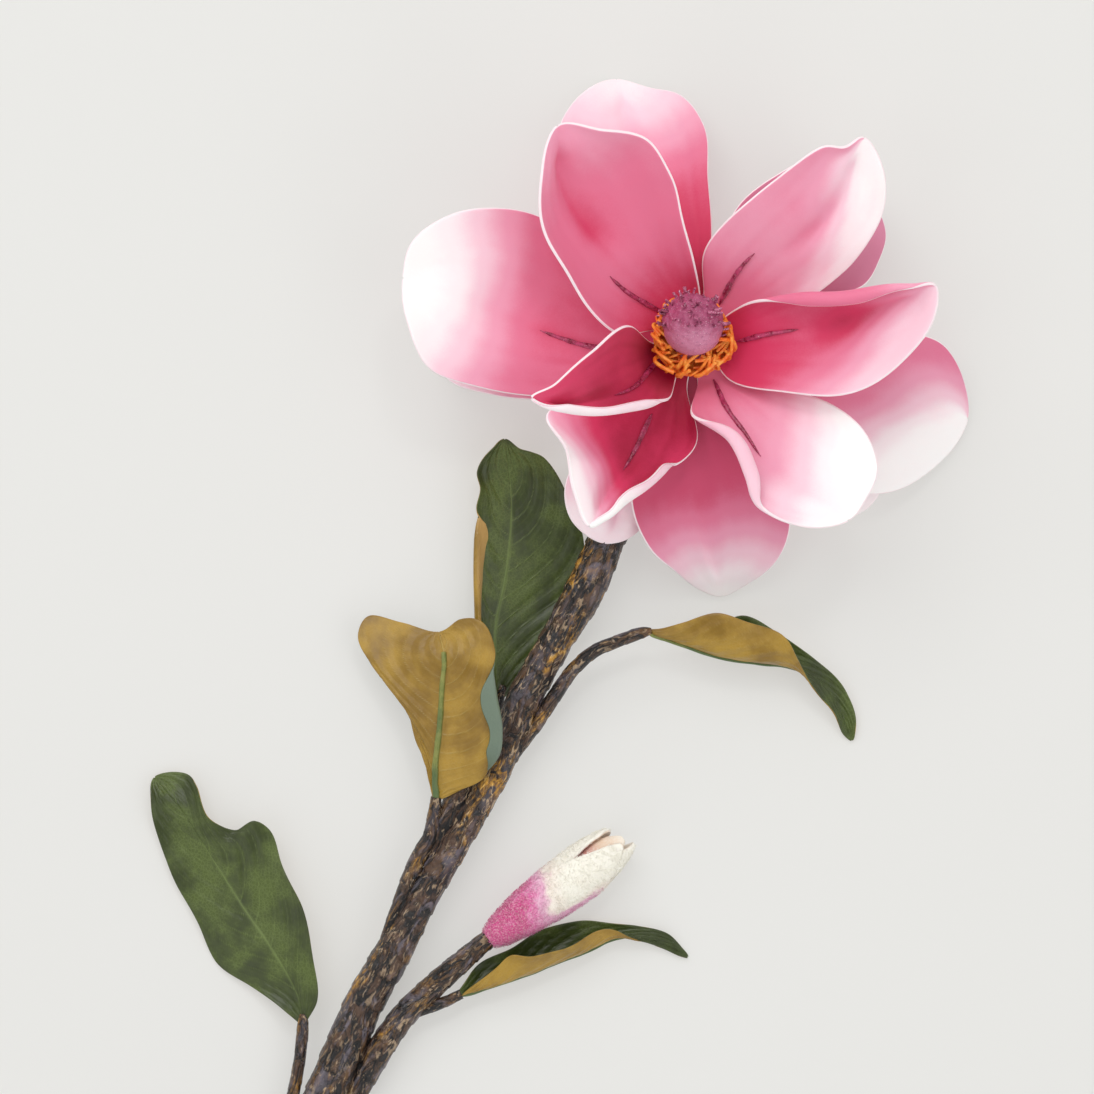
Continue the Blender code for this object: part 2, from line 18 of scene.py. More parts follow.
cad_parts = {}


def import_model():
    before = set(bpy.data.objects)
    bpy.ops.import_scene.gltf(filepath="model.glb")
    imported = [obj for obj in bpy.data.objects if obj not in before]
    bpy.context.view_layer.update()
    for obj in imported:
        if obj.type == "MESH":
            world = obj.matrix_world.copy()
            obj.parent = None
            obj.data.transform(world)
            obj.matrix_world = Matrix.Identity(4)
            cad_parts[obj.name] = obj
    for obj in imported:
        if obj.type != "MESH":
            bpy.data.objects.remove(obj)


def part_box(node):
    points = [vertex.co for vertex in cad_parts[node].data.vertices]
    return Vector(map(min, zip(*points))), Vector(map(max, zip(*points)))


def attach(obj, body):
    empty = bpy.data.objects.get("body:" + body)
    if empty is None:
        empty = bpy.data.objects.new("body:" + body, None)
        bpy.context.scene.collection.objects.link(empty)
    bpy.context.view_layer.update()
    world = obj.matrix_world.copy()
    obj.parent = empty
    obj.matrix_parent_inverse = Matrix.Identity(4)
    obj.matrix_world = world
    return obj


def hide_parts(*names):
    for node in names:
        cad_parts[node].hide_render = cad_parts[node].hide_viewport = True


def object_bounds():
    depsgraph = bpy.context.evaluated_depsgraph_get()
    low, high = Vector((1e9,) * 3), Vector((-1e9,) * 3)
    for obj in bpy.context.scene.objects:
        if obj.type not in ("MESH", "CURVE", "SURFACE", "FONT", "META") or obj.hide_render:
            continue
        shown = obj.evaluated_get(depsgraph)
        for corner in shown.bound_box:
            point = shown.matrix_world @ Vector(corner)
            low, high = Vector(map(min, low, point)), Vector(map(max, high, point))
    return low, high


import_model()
CAD_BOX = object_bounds()

MM = 0.001                     # metres in a millimetre
TURN = 2 * math.pi             # radians in a full turn
FLOWER_HEIGHT = 36.0           # receptacle plane above the table
RECEPTACLE_TOP = 1.7           # receptacle's top above that plane
PATH_STEPS = 12                # samples on each span of a smooth path
LAST_ROW = 0.9985              # where a blade's last row stands, just short of its tip
LEAF_SEEDS = 100               # where the leaves' own numbers begin
WELD = 0.00002                 # metres within which doubled points are merged
BODY = "root"

log = logging.getLogger("magnolia")
Colour = tuple[float, float, float]
Point = tuple[float, float, float]
Grid = np.ndarray
Piece = bpy.types.Object
Material = bpy.types.Material
Socket = bpy.types.NodeSocket


def srgb(red: int, green: int, blue: int) -> Colour:
    """Turn a display colour into linear light.

    Args:
        red, green, blue: channels from 0 to 255.

    Returns:
        The linear colour, each channel from 0 to 1.
    """
    def linear(channel: int) -> float:
        """One channel in linear light."""
        c = channel / 255
        return c / 12.92 if c <= 0.04045 else ((c + 0.055) / 1.055) ** 2.4
    return linear(red), linear(green), linear(blue)


# ---- position


def working_origin() -> Grid:
    """The point of the table below the receptacle, which is round about its axis."""
    low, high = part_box("receptacle")
    height = (FLOWER_HEIGHT + RECEPTACLE_TOP) * MM
    return np.array(Vector(((low.x + high.x) / 2, (low.y + high.y) / 2, high.z - height)))


ORIGIN = working_origin()


def world(points: Grid) -> Grid:
    """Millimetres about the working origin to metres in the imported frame."""
    return np.asarray(points) * MM + ORIGIN


# ---- curves


def unit(vectors: Grid) -> Grid:
    """Scale vectors to length one, leaving very short ones alone."""
    length = np.linalg.norm(vectors, axis=-1, keepdims=True)
    return vectors / np.maximum(length, 1e-9)


def ease(low: float, high: float, values: Grid) -> Grid:
    """A smooth step from 0 at low to 1 at high."""
    t = np.clip((values - low) / (high - low), 0, 1)
    return t * t * (3 - 2 * t)


def smooth_path(points: list[Point]) -> Grid:
    """A smooth curve through points, with even speed across uneven spans.

    Args:
        points: the points that the curve passes through.

    Returns:
        Dense points along the curve, one row each.
    """
    knots = np.array(points, float)
    spans = np.sqrt(np.linalg.norm(np.diff(knots, axis=0), axis=1))[:, None]
    slopes = np.diff(knots, axis=0) / spans
    inner = (slopes[:-1] * spans[1:] + slopes[1:] * spans[:-1]) / (spans[:-1] + spans[1:])
    tangents = np.vstack([slopes[:1], inner, slopes[-1:]])
    t = (np.arange(PATH_STEPS) / PATH_STEPS)[None, :, None]
    start, end = knots[:-1, None], knots[1:, None]
    out, into = tangents[:-1, None] * spans[:, None], tangents[1:, None] * spans[:, None]
    path = (start * (2 * t**3 - 3 * t**2 + 1) + out * (t**3 - 2 * t**2 + t)
            + end * (3 * t**2 - 2 * t**3) + into * (t**3 - t**2))
    return np.vstack([path.reshape(-1, knots.shape[1]), knots[-1:]])


def along(path: Grid, fractions: Grid) -> Grid:
    """Points at fractions of a path's length.

    Args:
        path: dense points along a curve.
        fractions: places from 0 to 1.

    Returns:
        One point for each fraction.
    """
    lengths = np.concatenate([[0], np.cumsum(np.linalg.norm(np.diff(path, axis=0), axis=1))])
    where = np.clip(fractions, 0, 1) * lengths[-1]
    return np.stack([np.interp(where, lengths, path[:, axis]) for axis in range(path.shape[1])], -1)


def field_noise(points: Grid, scale: float, seed: float) -> Grid:
    """Smooth noise from -1 to 1 at points, the same on every run.

    Args:
        points: array whose last axis is x, y, z in millimetres.
        scale: cycles in a millimetre.
        seed: shifts the pattern.

    Returns:
        One value for each point.
    """
    flat = points.reshape(-1, 3) * scale + seed
    values = [noise.noise(Vector(point)) for point in flat]
    return np.array(values).reshape(points.shape[:-1])


# ---- meshes


def make_object(name: str, vertices: Grid, faces: list, material: Material,
                attributes: dict[str, Grid] | None = None) -> Piece:
    """Put a finished mesh in the scene at the origin, with its place in its vertices.

    Args:
        name: the piece's name.
        vertices: places in metres.
        faces: vertex indices of each face, facing out.
        material: the finish.
        attributes: values for each vertex, by name.

    Returns:
        The new object.
    """
    mesh = bpy.data.meshes.new(name)
    mesh.from_pydata([tuple(vertex) for vertex in vertices], [], faces)
    for key, values in (attributes or {}).items():
        vector = np.ndim(values) == 2
        layer = mesh.attributes.new(key, "FLOAT_VECTOR" if vector else "FLOAT", "POINT")
        layer.data.foreach_set("vector" if vector else "value", np.asarray(values, np.float32).ravel())
    mesh.materials.append(material)
    mesh.shade_smooth()
    piece = bpy.data.objects.new(name, mesh)
    bpy.context.scene.collection.objects.link(piece)
    return piece


def tube_faces(rows: int, ring: int) -> list:
    """Faces of a closed tube: rows of ring points, then one point for each end.

    Args:
        rows: number of rings.
        ring: points in each ring.

    Returns:
        Vertex indices; the two end points follow the rings.
    """
    faces = []
    for row in range(rows - 1):
        for k in range(ring):
            after = (k + 1) % ring
            faces.append((row * ring + k, row * ring + after,
                          (row + 1) * ring + after, (row + 1) * ring + k))
    first, last = rows * ring, rows * ring + 1
    for k in range(ring):
        after = (k + 1) % ring
        faces.append((first, after, k))
        faces.append((last, (rows - 1) * ring + k, (rows - 1) * ring + after))
    return faces


def capped(rings: Grid) -> Grid:
    """Ring points as one list with a point for each end, as ``tube_faces`` expects."""
    return np.vstack([rings.reshape(-1, 3), rings[0].mean(0), rings[-1].mean(0)])


def crowded(rows: int, power: float) -> Grid:
    """Places from 0 to 1 that crowd towards 1."""
    return 1 - (1 - np.linspace(0, 1, rows)) ** power


def sample(grid: Grid, rows: Grid, columns: Grid) -> Grid:
    """Read a grid of points between its rows and columns."""
    row, column = rows.astype(int), columns.astype(int)
    down, across = (rows - row)[:, None], (columns - column)[:, None]
    near = grid[row, column] * (1 - down) + grid[row + 1, column] * down
    far = grid[row, column + 1] * (1 - down) + grid[row + 1, column + 1] * down
    return near * (1 - across) + far * across


@dataclass(frozen=True)
class Shell:
    """A thin curved sheet of even thickness with a rounded rim."""
    surface: Grid        # rows, columns, xyz, in millimetres
    normals: Grid
    thickness: float
    corner: float = 0.7        # how square the rim's rounding is

    def build(self, name: str, material: Material,
              fields: dict[str, tuple[Grid, Grid]]) -> Piece:
        """Close the sheet into one solid mesh.

        Args:
            name: of the piece.
            material: its finish.
            fields: for each attribute, its values on the upper and the lower face.

        Returns:
            The finished object, with ``side`` (1 upper, 0 lower) and ``rim`` attributes.
        """
        half = self.thickness / 2
        rows, columns, _ = self.surface.shape
        upper = self.surface + self.normals * half
        lower = self.surface - self.normals * half

        def rim(edge: int, inside: int) -> list[Grid]:
            """The three rounding points beyond one edge, from the upper to the lower face."""
            out = unit(self.surface[:, edge] - self.surface[:, inside]) * half
            up = self.normals[:, edge] * half
            middle = self.surface[:, edge]
            return [middle + (out + up) * self.corner, middle + out, middle + (out - up) * self.corner]

        right, left = rim(-1, -2), rim(0, 1)
        ring = np.concatenate([upper, np.stack(right, 1), lower[:, ::-1],
                               np.stack(left[::-1], 1)], axis=1)

        def spread(top: Grid, bottom: Grid, right_rim: list, left_rim: list) -> Grid:
            """One value for each vertex, in ring order."""
            values = np.concatenate([top, np.stack(right_rim, 1), bottom[:, ::-1],
                                     np.stack(left_rim, 1)], axis=1)
            return np.concatenate([values.ravel(), [values[0].mean(), values[-1].mean()]])

        one, zero = np.ones((rows, columns)), np.zeros((rows, columns))
        fading = [np.full(rows, share) for share in (1.0, 0.5, 0.0)]
        edge = [np.ones(rows)] * 3
        attributes = {"side": spread(one, zero, fading, fading[::-1]),
                      "rim": spread(zero, zero, edge, edge)}
        attributes["rim"][-1] = 1.0
        for key, (top, bottom) in fields.items():
            attributes[key] = spread(top, bottom, [top[:, -1]] * 3, [top[:, 0]] * 3)
        faces = tube_faces(rows, ring.shape[1])
        return make_object(name, world(capped(ring)), faces, material, attributes)


@dataclass(frozen=True)
class Blade:
    """A petal or leaf surface between two edges and a spine that run from base to tip."""
    base: tuple[Point, Point, Point]
    left: list[Point]
    spine: list[Point]
    right: list[Point]
    tip: Point
    roll: tuple[float, float] = (0.0, 0.0)

    def surface(self, u: Grid, v: Grid) -> Grid:
        """Points of the middle surface.

        Args:
            u: places along the blade, 0 at the base and 1 at the tip.
            v: places across it, -1 at the left edge and 1 at the right.

        Returns:
            An array of rows (u) by columns (v) by xyz.
        """
        base_left, base_middle, base_right = self.base
        outline = smooth_path([base_left, *self.left, self.tip, *reversed(self.right), base_right])
        turn = (len(self.left) + 1) * PATH_STEPS
        middle = along(smooth_path([base_middle, *self.spine, self.tip]), u)
        to_left = along(outline[:turn + 1], u) - middle
        to_right = along(outline[turn:][::-1], u) - middle
        tangent = unit(unit(to_right) - unit(to_left))
        swell = np.sin(math.pi * u)
        reach_left = 0.5 * np.linalg.norm(to_left, axis=1) + self.roll[0] * swell
        reach_right = 0.5 * np.linalg.norm(to_right, axis=1) + self.roll[1] * swell
        t = np.abs(v)[None, :, None]
        right_side = (v > 0)[None, :, None]
        handle = np.where(right_side, (tangent * reach_right[:, None])[:, None],
                          (-tangent * reach_left[:, None])[:, None])
        edge = np.where(right_side, to_right[:, None], to_left[:, None])
        return middle[:, None] + handle * (2 * t * (1 - t)) + edge * t * t

    def normals(self, surface: Grid) -> Grid:
        """Directions out of the upper face; the last rows, which crowd the tip, share one.

        Args:
            surface: points of the blade.

        Returns:
            One unit vector for each point.
        """
        normals = unit(np.cross(np.gradient(surface, axis=1), np.gradient(surface, axis=0)))
        normals[-3:] = normals[-4]
        return unit(normals)


# ---- materials


class NodeTree:
    """A node tree, with a short way to add and join nodes."""

    def __init__(self, tree: bpy.types.NodeTree) -> None:
        """Keep the tree to work on."""
        self.tree = tree

    def add(self, kind: str, inputs: dict | None = None, **settings: object) -> bpy.types.Node:
        """Add a node, set its inputs and join the sockets that are given.

        Args:
            kind: the node's type, without its GeometryNode prefix where it has one.
            inputs: values or output sockets, by input name or number.
            settings: the node's own properties.

        Returns:
            The new node.
        """
        known = ("ShaderNode", "FunctionNode")
        node = self.tree.nodes.new(kind if kind.startswith(known) else "GeometryNode" + kind)
        for key, value in settings.items():
            setattr(node, key, value)
        self.feed(node, inputs or {})
        return node

    def feed(self, node: bpy.types.Node, inputs: dict) -> None:
        """Set or join a node's inputs.

        Args:
            node: the node.
            inputs: values or output sockets, by input name or number.
        """
        for key, value in inputs.items():
            socket = node.inputs[key]
            if isinstance(value, Socket):
                self.tree.links.new(value, socket)
            elif socket.type == "RGBA":
                socket.default_value = (*value, 1.0)
            else:
                socket.default_value = value

    def math(self, operation: str, first: object, second: object = 0.0) -> Socket:
        """One step of arithmetic."""
        return self.add("ShaderNodeMath", {0: first, 1: second}, operation=operation).outputs[0]

    def times(self, first: object, second: object) -> Socket:
        """The product of two values."""
        return self.math("MULTIPLY", first, second)


class Graph(NodeTree):
    """A material's node tree."""
    octave_weight = 0.55       # of the finer octaves of its noise

    def __init__(self, name: str) -> None:
        """Start a material that holds one Principled shader."""
        self.material = bpy.data.materials.new(name)
        self.material.use_nodes = True
        super().__init__(self.material.node_tree)
        self.shader = self.tree.nodes["Principled BSDF"]

    def attribute(self, name: str) -> Socket:
        """The value of one of the mesh's own attributes."""
        return self.add("ShaderNodeAttribute", attribute_name=name).outputs["Fac"]

    def metres(self) -> Socket:
        """Object coordinates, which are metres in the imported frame."""
        return self.add("ShaderNodeTexCoord").outputs["Object"]

    def object_noise(self, scale: float, detail: float) -> Socket:
        """Noise on Object coordinates.

        Args:
            scale: cycles in a metre.
            detail: octaves.

        Returns:
            The noise value, about 0.5.
        """
        return self.add("ShaderNodeTexNoise", {
            "Vector": self.metres(), "Scale": scale, "Detail": detail,
            "Roughness": self.octave_weight}).outputs["Fac"]

    def around_zero(self, value: object, strength: float) -> Socket:
        """A noise value moved to lie about 0, times a strength."""
        return self.times(self.math("SUBTRACT", value, 0.5), strength)

    def remap(self, value: object, low: float, high: float, start: float = 0.0,
              end: float = 1.0) -> Socket:
        """Map low..high to start..end, clamped, with a smooth step."""
        return self.add("ShaderNodeMapRange", {"Value": value, "From Min": low, "From Max": high,
                                               "To Min": start, "To Max": end},
                        interpolation_type="SMOOTHSTEP").outputs[0]

    def mix(self, amount: object, first: object, second: object) -> Socket:
        """Mix two colours."""
        return self.add("ShaderNodeMix", {"Factor": amount, 6: first, 7: second},
                        data_type="RGBA").outputs[2]

    def ramp(self, value: Socket, stops: list[tuple[float, Colour]]) -> Socket:
        """Colours along a value.

        Args:
            value: the place on the ramp.
            stops: (position, colour) pairs in order.

        Returns:
            The colour at the value.
        """
        node = self.add("ShaderNodeValToRGB", {"Fac": value})
        band = node.color_ramp
        band.interpolation = "EASE"
        while len(band.elements) < len(stops):
            band.elements.new(0.5)
        for element, (position, colour) in zip(band.elements, stops):
            element.position = position
            element.color = (*colour, 1.0)
        return node.outputs["Color"]

    def bump(self, heights: list[tuple[Socket, float, float]]) -> Material:
        """Stack bumps on the shader's normal.

        Args:
            heights: (height, strength, distance in metres) for each layer.

        Returns:
            The finished material.
        """
        normal = None
        for height, strength, distance in heights:
            inputs = {"Height": height, "Strength": strength, "Distance": distance}
            if normal is not None:
                inputs["Normal"] = normal
            normal = self.add("ShaderNodeBump", inputs).outputs["Normal"]
        self.feed(self.shader, {"Normal": normal})
        return self.material


@dataclass(frozen=True)
class PetalFoam:
    """Airbrushed foam: crimson at the base, through rose, to white."""
    name: str = "airbrushed_foam"
    stops: tuple = ((0.0, srgb(166, 6, 54)), (0.16, srgb(212, 52, 96)), (0.34, srgb(228, 118, 150)),
                    (0.52, srgb(238, 160, 185)), (0.72, srgb(248, 206, 219)),
                    (0.90, srgb(253, 240, 242)), (1.0, srgb(254, 251, 249)))
    rim: Colour = srgb(250, 232, 236)
    mauve: Colour = srgb(178, 104, 134)

    def material(self) -> Material:
        """Make the foam's material, which reads the petal's ``tone`` and ``rim``."""
        graph = Graph(self.name)
        cloud = graph.object_noise(60, 4)
        speck = graph.object_noise(1800, 2)
        streak = graph.attribute("streak")
        drift = graph.around_zero(cloud, 0.12)
        grain = graph.around_zero(speck, 0.035)
        lines = graph.times(streak, 0.012)
        tone = graph.math("ADD", graph.attribute("tone"), drift)
        tone = graph.math("ADD", graph.math("ADD", tone, grain), lines)
        colour = graph.ramp(tone, list(self.stops))
        colour = graph.mix(graph.attribute("dusk"), colour, self.mauve)
        colour = graph.mix(graph.remap(graph.attribute("rim"), 0.25, 0.9), colour, self.rim)
        graph.feed(graph.shader, {
            "Base Color": colour, "Roughness": graph.remap(cloud, 0.2, 0.8, 0.46, 0.6),
            "Specular IOR Level": 0.35, "Subsurface Weight": 0.12,
            "Subsurface Radius": (0.0025, 0.0012, 0.0012), "Subsurface Scale": 1.0,
            "Sheen Weight": 0.08, "Sheen Roughness": 0.5})
        return graph.bump([(graph.object_noise(260, 3), 0.12, 0.0006), (speck, 0.10, 0.00012)])


@dataclass(frozen=True)
class PatchedFinish:
    """Two colours in soft patches, with specks of a third over them."""
    name: str
    low: Colour
    high: Colour
    patch: tuple[float, float, float, float]       # noise scale and detail, then where it blends
    bump: tuple[float, float, float]               # noise scale, strength and height in metres
    rough: tuple[float, float]
    # the specks' noise scale, where they begin and are full, and their strength
    speck: tuple[float, float, float, float] | None = None
    speck_colour: Colour = srgb(255, 255, 255)
    gloss: tuple[tuple[str, object], ...] = ()     # more of the shader's inputs

    def material(self) -> Material:
        """Make the finish's material."""
        graph = Graph(self.name)
        patch = graph.object_noise(*self.patch[:2])
        colour = graph.mix(graph.remap(patch, *self.patch[2:]), self.low, self.high)
        if self.speck is not None:
            scale, start, full, strength = self.speck
            specks = graph.remap(graph.object_noise(scale, 1), start, full)
            colour = graph.mix(graph.times(specks, strength), colour, self.speck_colour)
        least, most = self.rough
        rough = least if least == most else graph.remap(patch, 0.3, 0.7, least, most)
        graph.feed(graph.shader, {"Base Color": colour, "Roughness": rough, **dict(self.gloss)})
        scale, strength, height = self.bump
        return graph.bump([(graph.object_noise(scale, 2), strength, height)])


@dataclass(frozen=True)
class LeafCloth:
    """Printed leaf fabric: dark green above, ochre below, with paler veins, and a painted sheen on
    rolled-over flaps.
    """
    name: str = "printed_cloth"
    green: tuple = (srgb(48, 58, 18), srgb(76, 90, 32))
    ochre: tuple = (srgb(130, 98, 22), srgb(170, 134, 44))
    vein_green: Colour = srgb(124, 142, 78)
    vein_ochre: Colour = srgb(186, 164, 98)
    # paler colours of a painted sheen, laid on the rolled-over flaps
    flap_sheen_green: Colour = srgb(110, 126, 112)
    flap_sheen_ochre: Colour = srgb(206, 168, 104)

    def material(self) -> Material:
        """Make the cloth's material, which reads ``side``, ``vein`` and the mask of its painted sheen."""
        graph = Graph(self.name)
        cloud = graph.object_noise(90, 4)
        weave = graph.object_noise(2600, 2)
        vein = graph.attribute("vein")
        green = graph.mix(graph.remap(cloud, 0.3, 0.7), *self.green)
        green = graph.mix(graph.times(vein, 0.55), green, self.vein_green)
        ochre = graph.mix(graph.remap(cloud, 0.3, 0.7), *self.ochre)
        ochre = graph.mix(graph.times(vein, 0.5), ochre, self.vein_ochre)
        cells = graph.add("ShaderNodeTexVoronoi", {"Vector": graph.metres(), "Scale": 950.0},
                          feature="DISTANCE_TO_EDGE").outputs["Distance"]
        net = graph.times(graph.remap(cells, 0.02, 0.16, 0.2, 0.0), graph.remap(cloud, 0.4, 0.6))
        green = graph.mix(net, green, self.vein_green)
        ochre = graph.mix(graph.times(net, 0.5), ochre, self.vein_ochre)
        # painted sheen: the rolled-over flaps are paled towards grey green and pale ochre
        flap_sheen = graph.attribute("flap_sheen")
        green = graph.mix(flap_sheen, green, self.flap_sheen_green)
        ochre = graph.mix(flap_sheen, ochre, self.flap_sheen_ochre)
        colour = graph.mix(graph.remap(graph.attribute("side"), 0.4, 0.6), ochre, green)
        graph.feed(graph.shader, {
            "Base Color": colour, "Roughness": graph.remap(cloud, 0.25, 0.75, 0.32, 0.5),
            "Specular IOR Level": 0.5, "Sheen Weight": 0.12, "Sheen Roughness": 0.4})
        return graph.bump([(vein, 0.45, 0.0005), (graph.object_noise(500, 3), 0.25, 0.0004),
                    (weave, 0.25, 0.00012)])


@dataclass(frozen=True)
class StemWrap:
    """Crinkled glossy brown film, with ochre showing through in patches, painted grey sheen, painted pale
    glints and painted shadow below each film edge.
    """
    name: str = "crinkled_film"
    dark: Colour = srgb(7, 4, 5)
    brown: Colour = srgb(84, 60, 44)
    ochre: Colour = srgb(204, 148, 50)
    bronze: Colour = srgb(116, 80, 34)
    # grey of painted sheen patches on the glossy film
    painted_sheen_grey: Colour = srgb(120, 112, 122)
    # colours of painted highlights: pale glints on the crinkles, and gold ones over the ochre, which are
    # partly real metallic flakes
    sheen: Colour = srgb(182, 156, 126)
    flake_and_glint: Colour = srgb(244, 196, 104)

    def material(self) -> Material:
        """Make the film's material, which reads ``ledge``, the painted shadow below each film edge, and
        ``wound``.
        """
        graph = Graph(self.name)
        wound = graph.add("ShaderNodeAttribute", attribute_name="wound").outputs["Vector"]

        def film(scale: float, detail: float, twist: float = 0.0) -> Socket:
            """Noise that runs along the film."""
            return graph.add("ShaderNodeTexNoise", {
                "Vector": wound, "Scale": scale, "Detail": detail, "Roughness": 0.6,
                "Distortion": twist}).outputs["Fac"]

        broad, streaks, fine = film(120, 3, 0.6), film(300, 5, 1.4), film(1100, 3)
        zone = graph.remap(film(48, 2), 0.42, 0.56)
        ledge = graph.attribute("ledge")
        colour = graph.mix(graph.remap(streaks, 0.42, 0.60), self.dark, self.brown)
        # painted sheen: grey patches, most where the ochre zones are weak
        painted_sheen_patches = graph.times(graph.remap(film(210, 5, 0.9), 0.50, 0.62),
                          graph.remap(zone, 0.0, 1.0, 0.75, 0.3))
        colour = graph.mix(painted_sheen_patches, colour, self.painted_sheen_grey)
        gold = graph.times(graph.remap(broad, 0.47, 0.62), graph.remap(streaks, 0.42, 0.60))
        gold = graph.times(gold, graph.remap(zone, 0.0, 1.0, 0.22, 1.0))
        metal = graph.mix(graph.remap(fine, 0.38, 0.62), self.ochre, self.bronze)
        colour = graph.mix(gold, colour, metal)
        # painted highlights: small pale glints on the film, partly real gold flakes where the ochre shows
        flecks_and_glints = graph.times(graph.remap(film(640, 5, 1.0), 0.54, 0.66),
                           graph.remap(zone, 0.0, 1.0, 0.55, 0.95))
        colour = graph.mix(flecks_and_glints, colour, graph.mix(gold, self.sheen, self.flake_and_glint))
        # painted shadow below each film edge
        colour = graph.mix(graph.times(ledge, 0.6), colour, self.dark)
        graph.feed(graph.shader, {
            "Base Color": colour, "Roughness": graph.remap(streaks, 0.3, 0.7, 0.12, 0.26),
            "Specular IOR Level": 0.45, "Coat Weight": 0.12, "Coat Roughness": 0.06})
        return graph.bump([(broad, 0.7, 0.0026), (streaks, 1.0, 0.0024), (fine, 0.8, 0.0007)])


@dataclass(frozen=True)
class ConeFlock:
    """Mauve seed cone: darker and glittery at the crown, paler and smoother below."""
    name: str = "cone_flocking"
    low: Colour = srgb(206, 132, 162)
    high: Colour = srgb(172, 76, 114)

    def material(self) -> Material:
        """Make the cone's material, which reads ``crown``."""
        graph = Graph(self.name)
        fine = graph.object_noise(900, 4)
        colour = graph.mix(graph.attribute("crown"), self.low, self.high)
        colour = graph.mix(graph.remap(fine, 0.5, 0.75, 0, 0.45), colour, srgb(126, 50, 92))
        spark = graph.remap(graph.object_noise(3600, 1), 0.68, 0.74)
        colour = graph.mix(graph.times(spark, 0.8), colour, srgb(255, 232, 240))
        rough = graph.remap(fine, 0.3, 0.7, 0.35, 0.6)
        graph.feed(graph.shader, {"Base Color": colour, "Roughness": rough})
        return graph.bump([(fine, 0.6, 0.0006), (graph.object_noise(2600, 2), 0.5, 0.0002)])


@dataclass(frozen=True)
class BudFlock:
    """Short flock: magenta to pink over the lower half, cream above, peach inside."""
    name: str = "bud_flocking"

    def material(self) -> Material:
        """Make the flock's material, which reads ``tone``, ``height``, ``side`` and ``inner``."""
        graph = Graph(self.name)
        fuzz = graph.object_noise(2000, 4)
        cloud = graph.object_noise(240, 4)
        drift = graph.around_zero(cloud, 0.55)
        tone = graph.math("ADD", graph.attribute("tone"), drift)
        outside = graph.ramp(tone, [(0.0, srgb(206, 74, 136)), (0.16, srgb(222, 112, 168)),
                                    (0.40, srgb(232, 172, 202)), (0.64, srgb(246, 236, 224)),
                                    (1.0, srgb(250, 247, 234))])
        inside = graph.ramp(graph.attribute("height"), [
            (0.0, srgb(150, 40, 66)), (0.60, srgb(160, 50, 74)), (0.72, srgb(208, 136, 124)),
            (0.86, srgb(236, 210, 184)), (1.0, srgb(246, 238, 222))])
        share = graph.math("MAXIMUM", graph.remap(graph.attribute("side"), 0.65, 0.35),
                           graph.attribute("inner"))
        colour = graph.mix(share, outside, inside)
        colour = graph.mix(graph.remap(fuzz, 0.4, 0.7, 0.0, 0.36), colour, srgb(255, 250, 246))
        graph.feed(graph.shader, {"Base Color": colour, "Roughness": 0.9, "Sheen Weight": 0.35,
                                  "Sheen Roughness": 0.5, "Specular IOR Level": 0.2})
        return graph.bump([(cloud, 0.1, 0.0005), (fuzz, 0.5, 0.0003)])


class Finish(Enum):
    """The finishes of the branch."""
    PETAL = PetalFoam()
    RIB = PatchedFinish(            # a raised line of glossy glue with fine glitter
        "wine_glaze", srgb(128, 14, 54), srgb(190, 60, 108), (420, 3, 0.35, 0.7),
        (1400, 0.5, 0.0003), (0.22, 0.45), (3200, 0.66, 0.74, 0.6), srgb(250, 214, 228),
        (("Coat Weight", 0.4), ("Coat Roughness", 0.15)))
    LEAF = LeafCloth()
    WRAP = StemWrap()
    CONE = ConeFlock()
    SPINE = PatchedFinish(          # dark mauve with glitter
        "glitter_spines", srgb(124, 38, 74), srgb(190, 96, 132), (700, 2, 0.35, 0.65),
        (2200, 0.4, 0.0002), (0.35, 0.35), (3000, 0.62, 0.7, 0.7), srgb(250, 220, 232),
        (("Coat Weight", 0.3),))
    STAMEN = PatchedFinish(         # rust to yellow orange
        "orange_strands", srgb(244, 112, 30), srgb(255, 176, 74), (330, 3, 0.32, 0.68),
        (1500, 0.3, 0.0002), (0.45, 0.45),
        gloss=(("Subsurface Weight", 0.1), ("Subsurface Radius", (0.001, 0.0006, 0.0003)),
               ("Subsurface Scale", 1.0)))
    BUD = BudFlock()
    WIRE = PatchedFinish(           # green plastic over wire, stained in places
        "green_wire", srgb(104, 116, 52), srgb(140, 142, 74), (300, 3, 0.3, 0.7),
        (1200, 0.3, 0.0002), (0.45, 0.45), (34, 0.44, 0.52, 0.75), srgb(62, 92, 60))

    def get(self) -> Material:
        """The finish's material, made once."""
        return bpy.data.materials.get(self.value.name) or self.value.material()


def mend(piece: Piece, weld: bool = False) -> None:
    """Turn a closed mesh's faces outwards.

    Args:
        piece: the piece.
        weld: whether doubled points, where a closed profile meets itself, are merged first.
    """
    shell = bmesh.new()
    shell.from_mesh(piece.data)
    if weld:
        bmesh.ops.remove_doubles(shell, verts=shell.verts, dist=WELD)
        bmesh.ops.recalc_face_normals(shell, faces=shell.faces)
    if shell.calc_volume(signed=True) < 0:
        bmesh.ops.reverse_faces(shell, faces=shell.faces)
    shell.to_mesh(piece.data)
    shell.free()


def finish_piece(piece: Piece, slot: str, *nodes: str) -> Piece:
    """Let a piece ride on the body and stand for its CAD nodes.

    Args:
        piece: the finished object.
        slot: not used.
        nodes: CAD nodes that the piece stands for.

    Returns:
        The same object.
    """
    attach(piece, BODY)
    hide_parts(*nodes)
    log.info("%s: %d faces", piece.name, len(piece.data.polygons))
    return piece


# ---- tubes


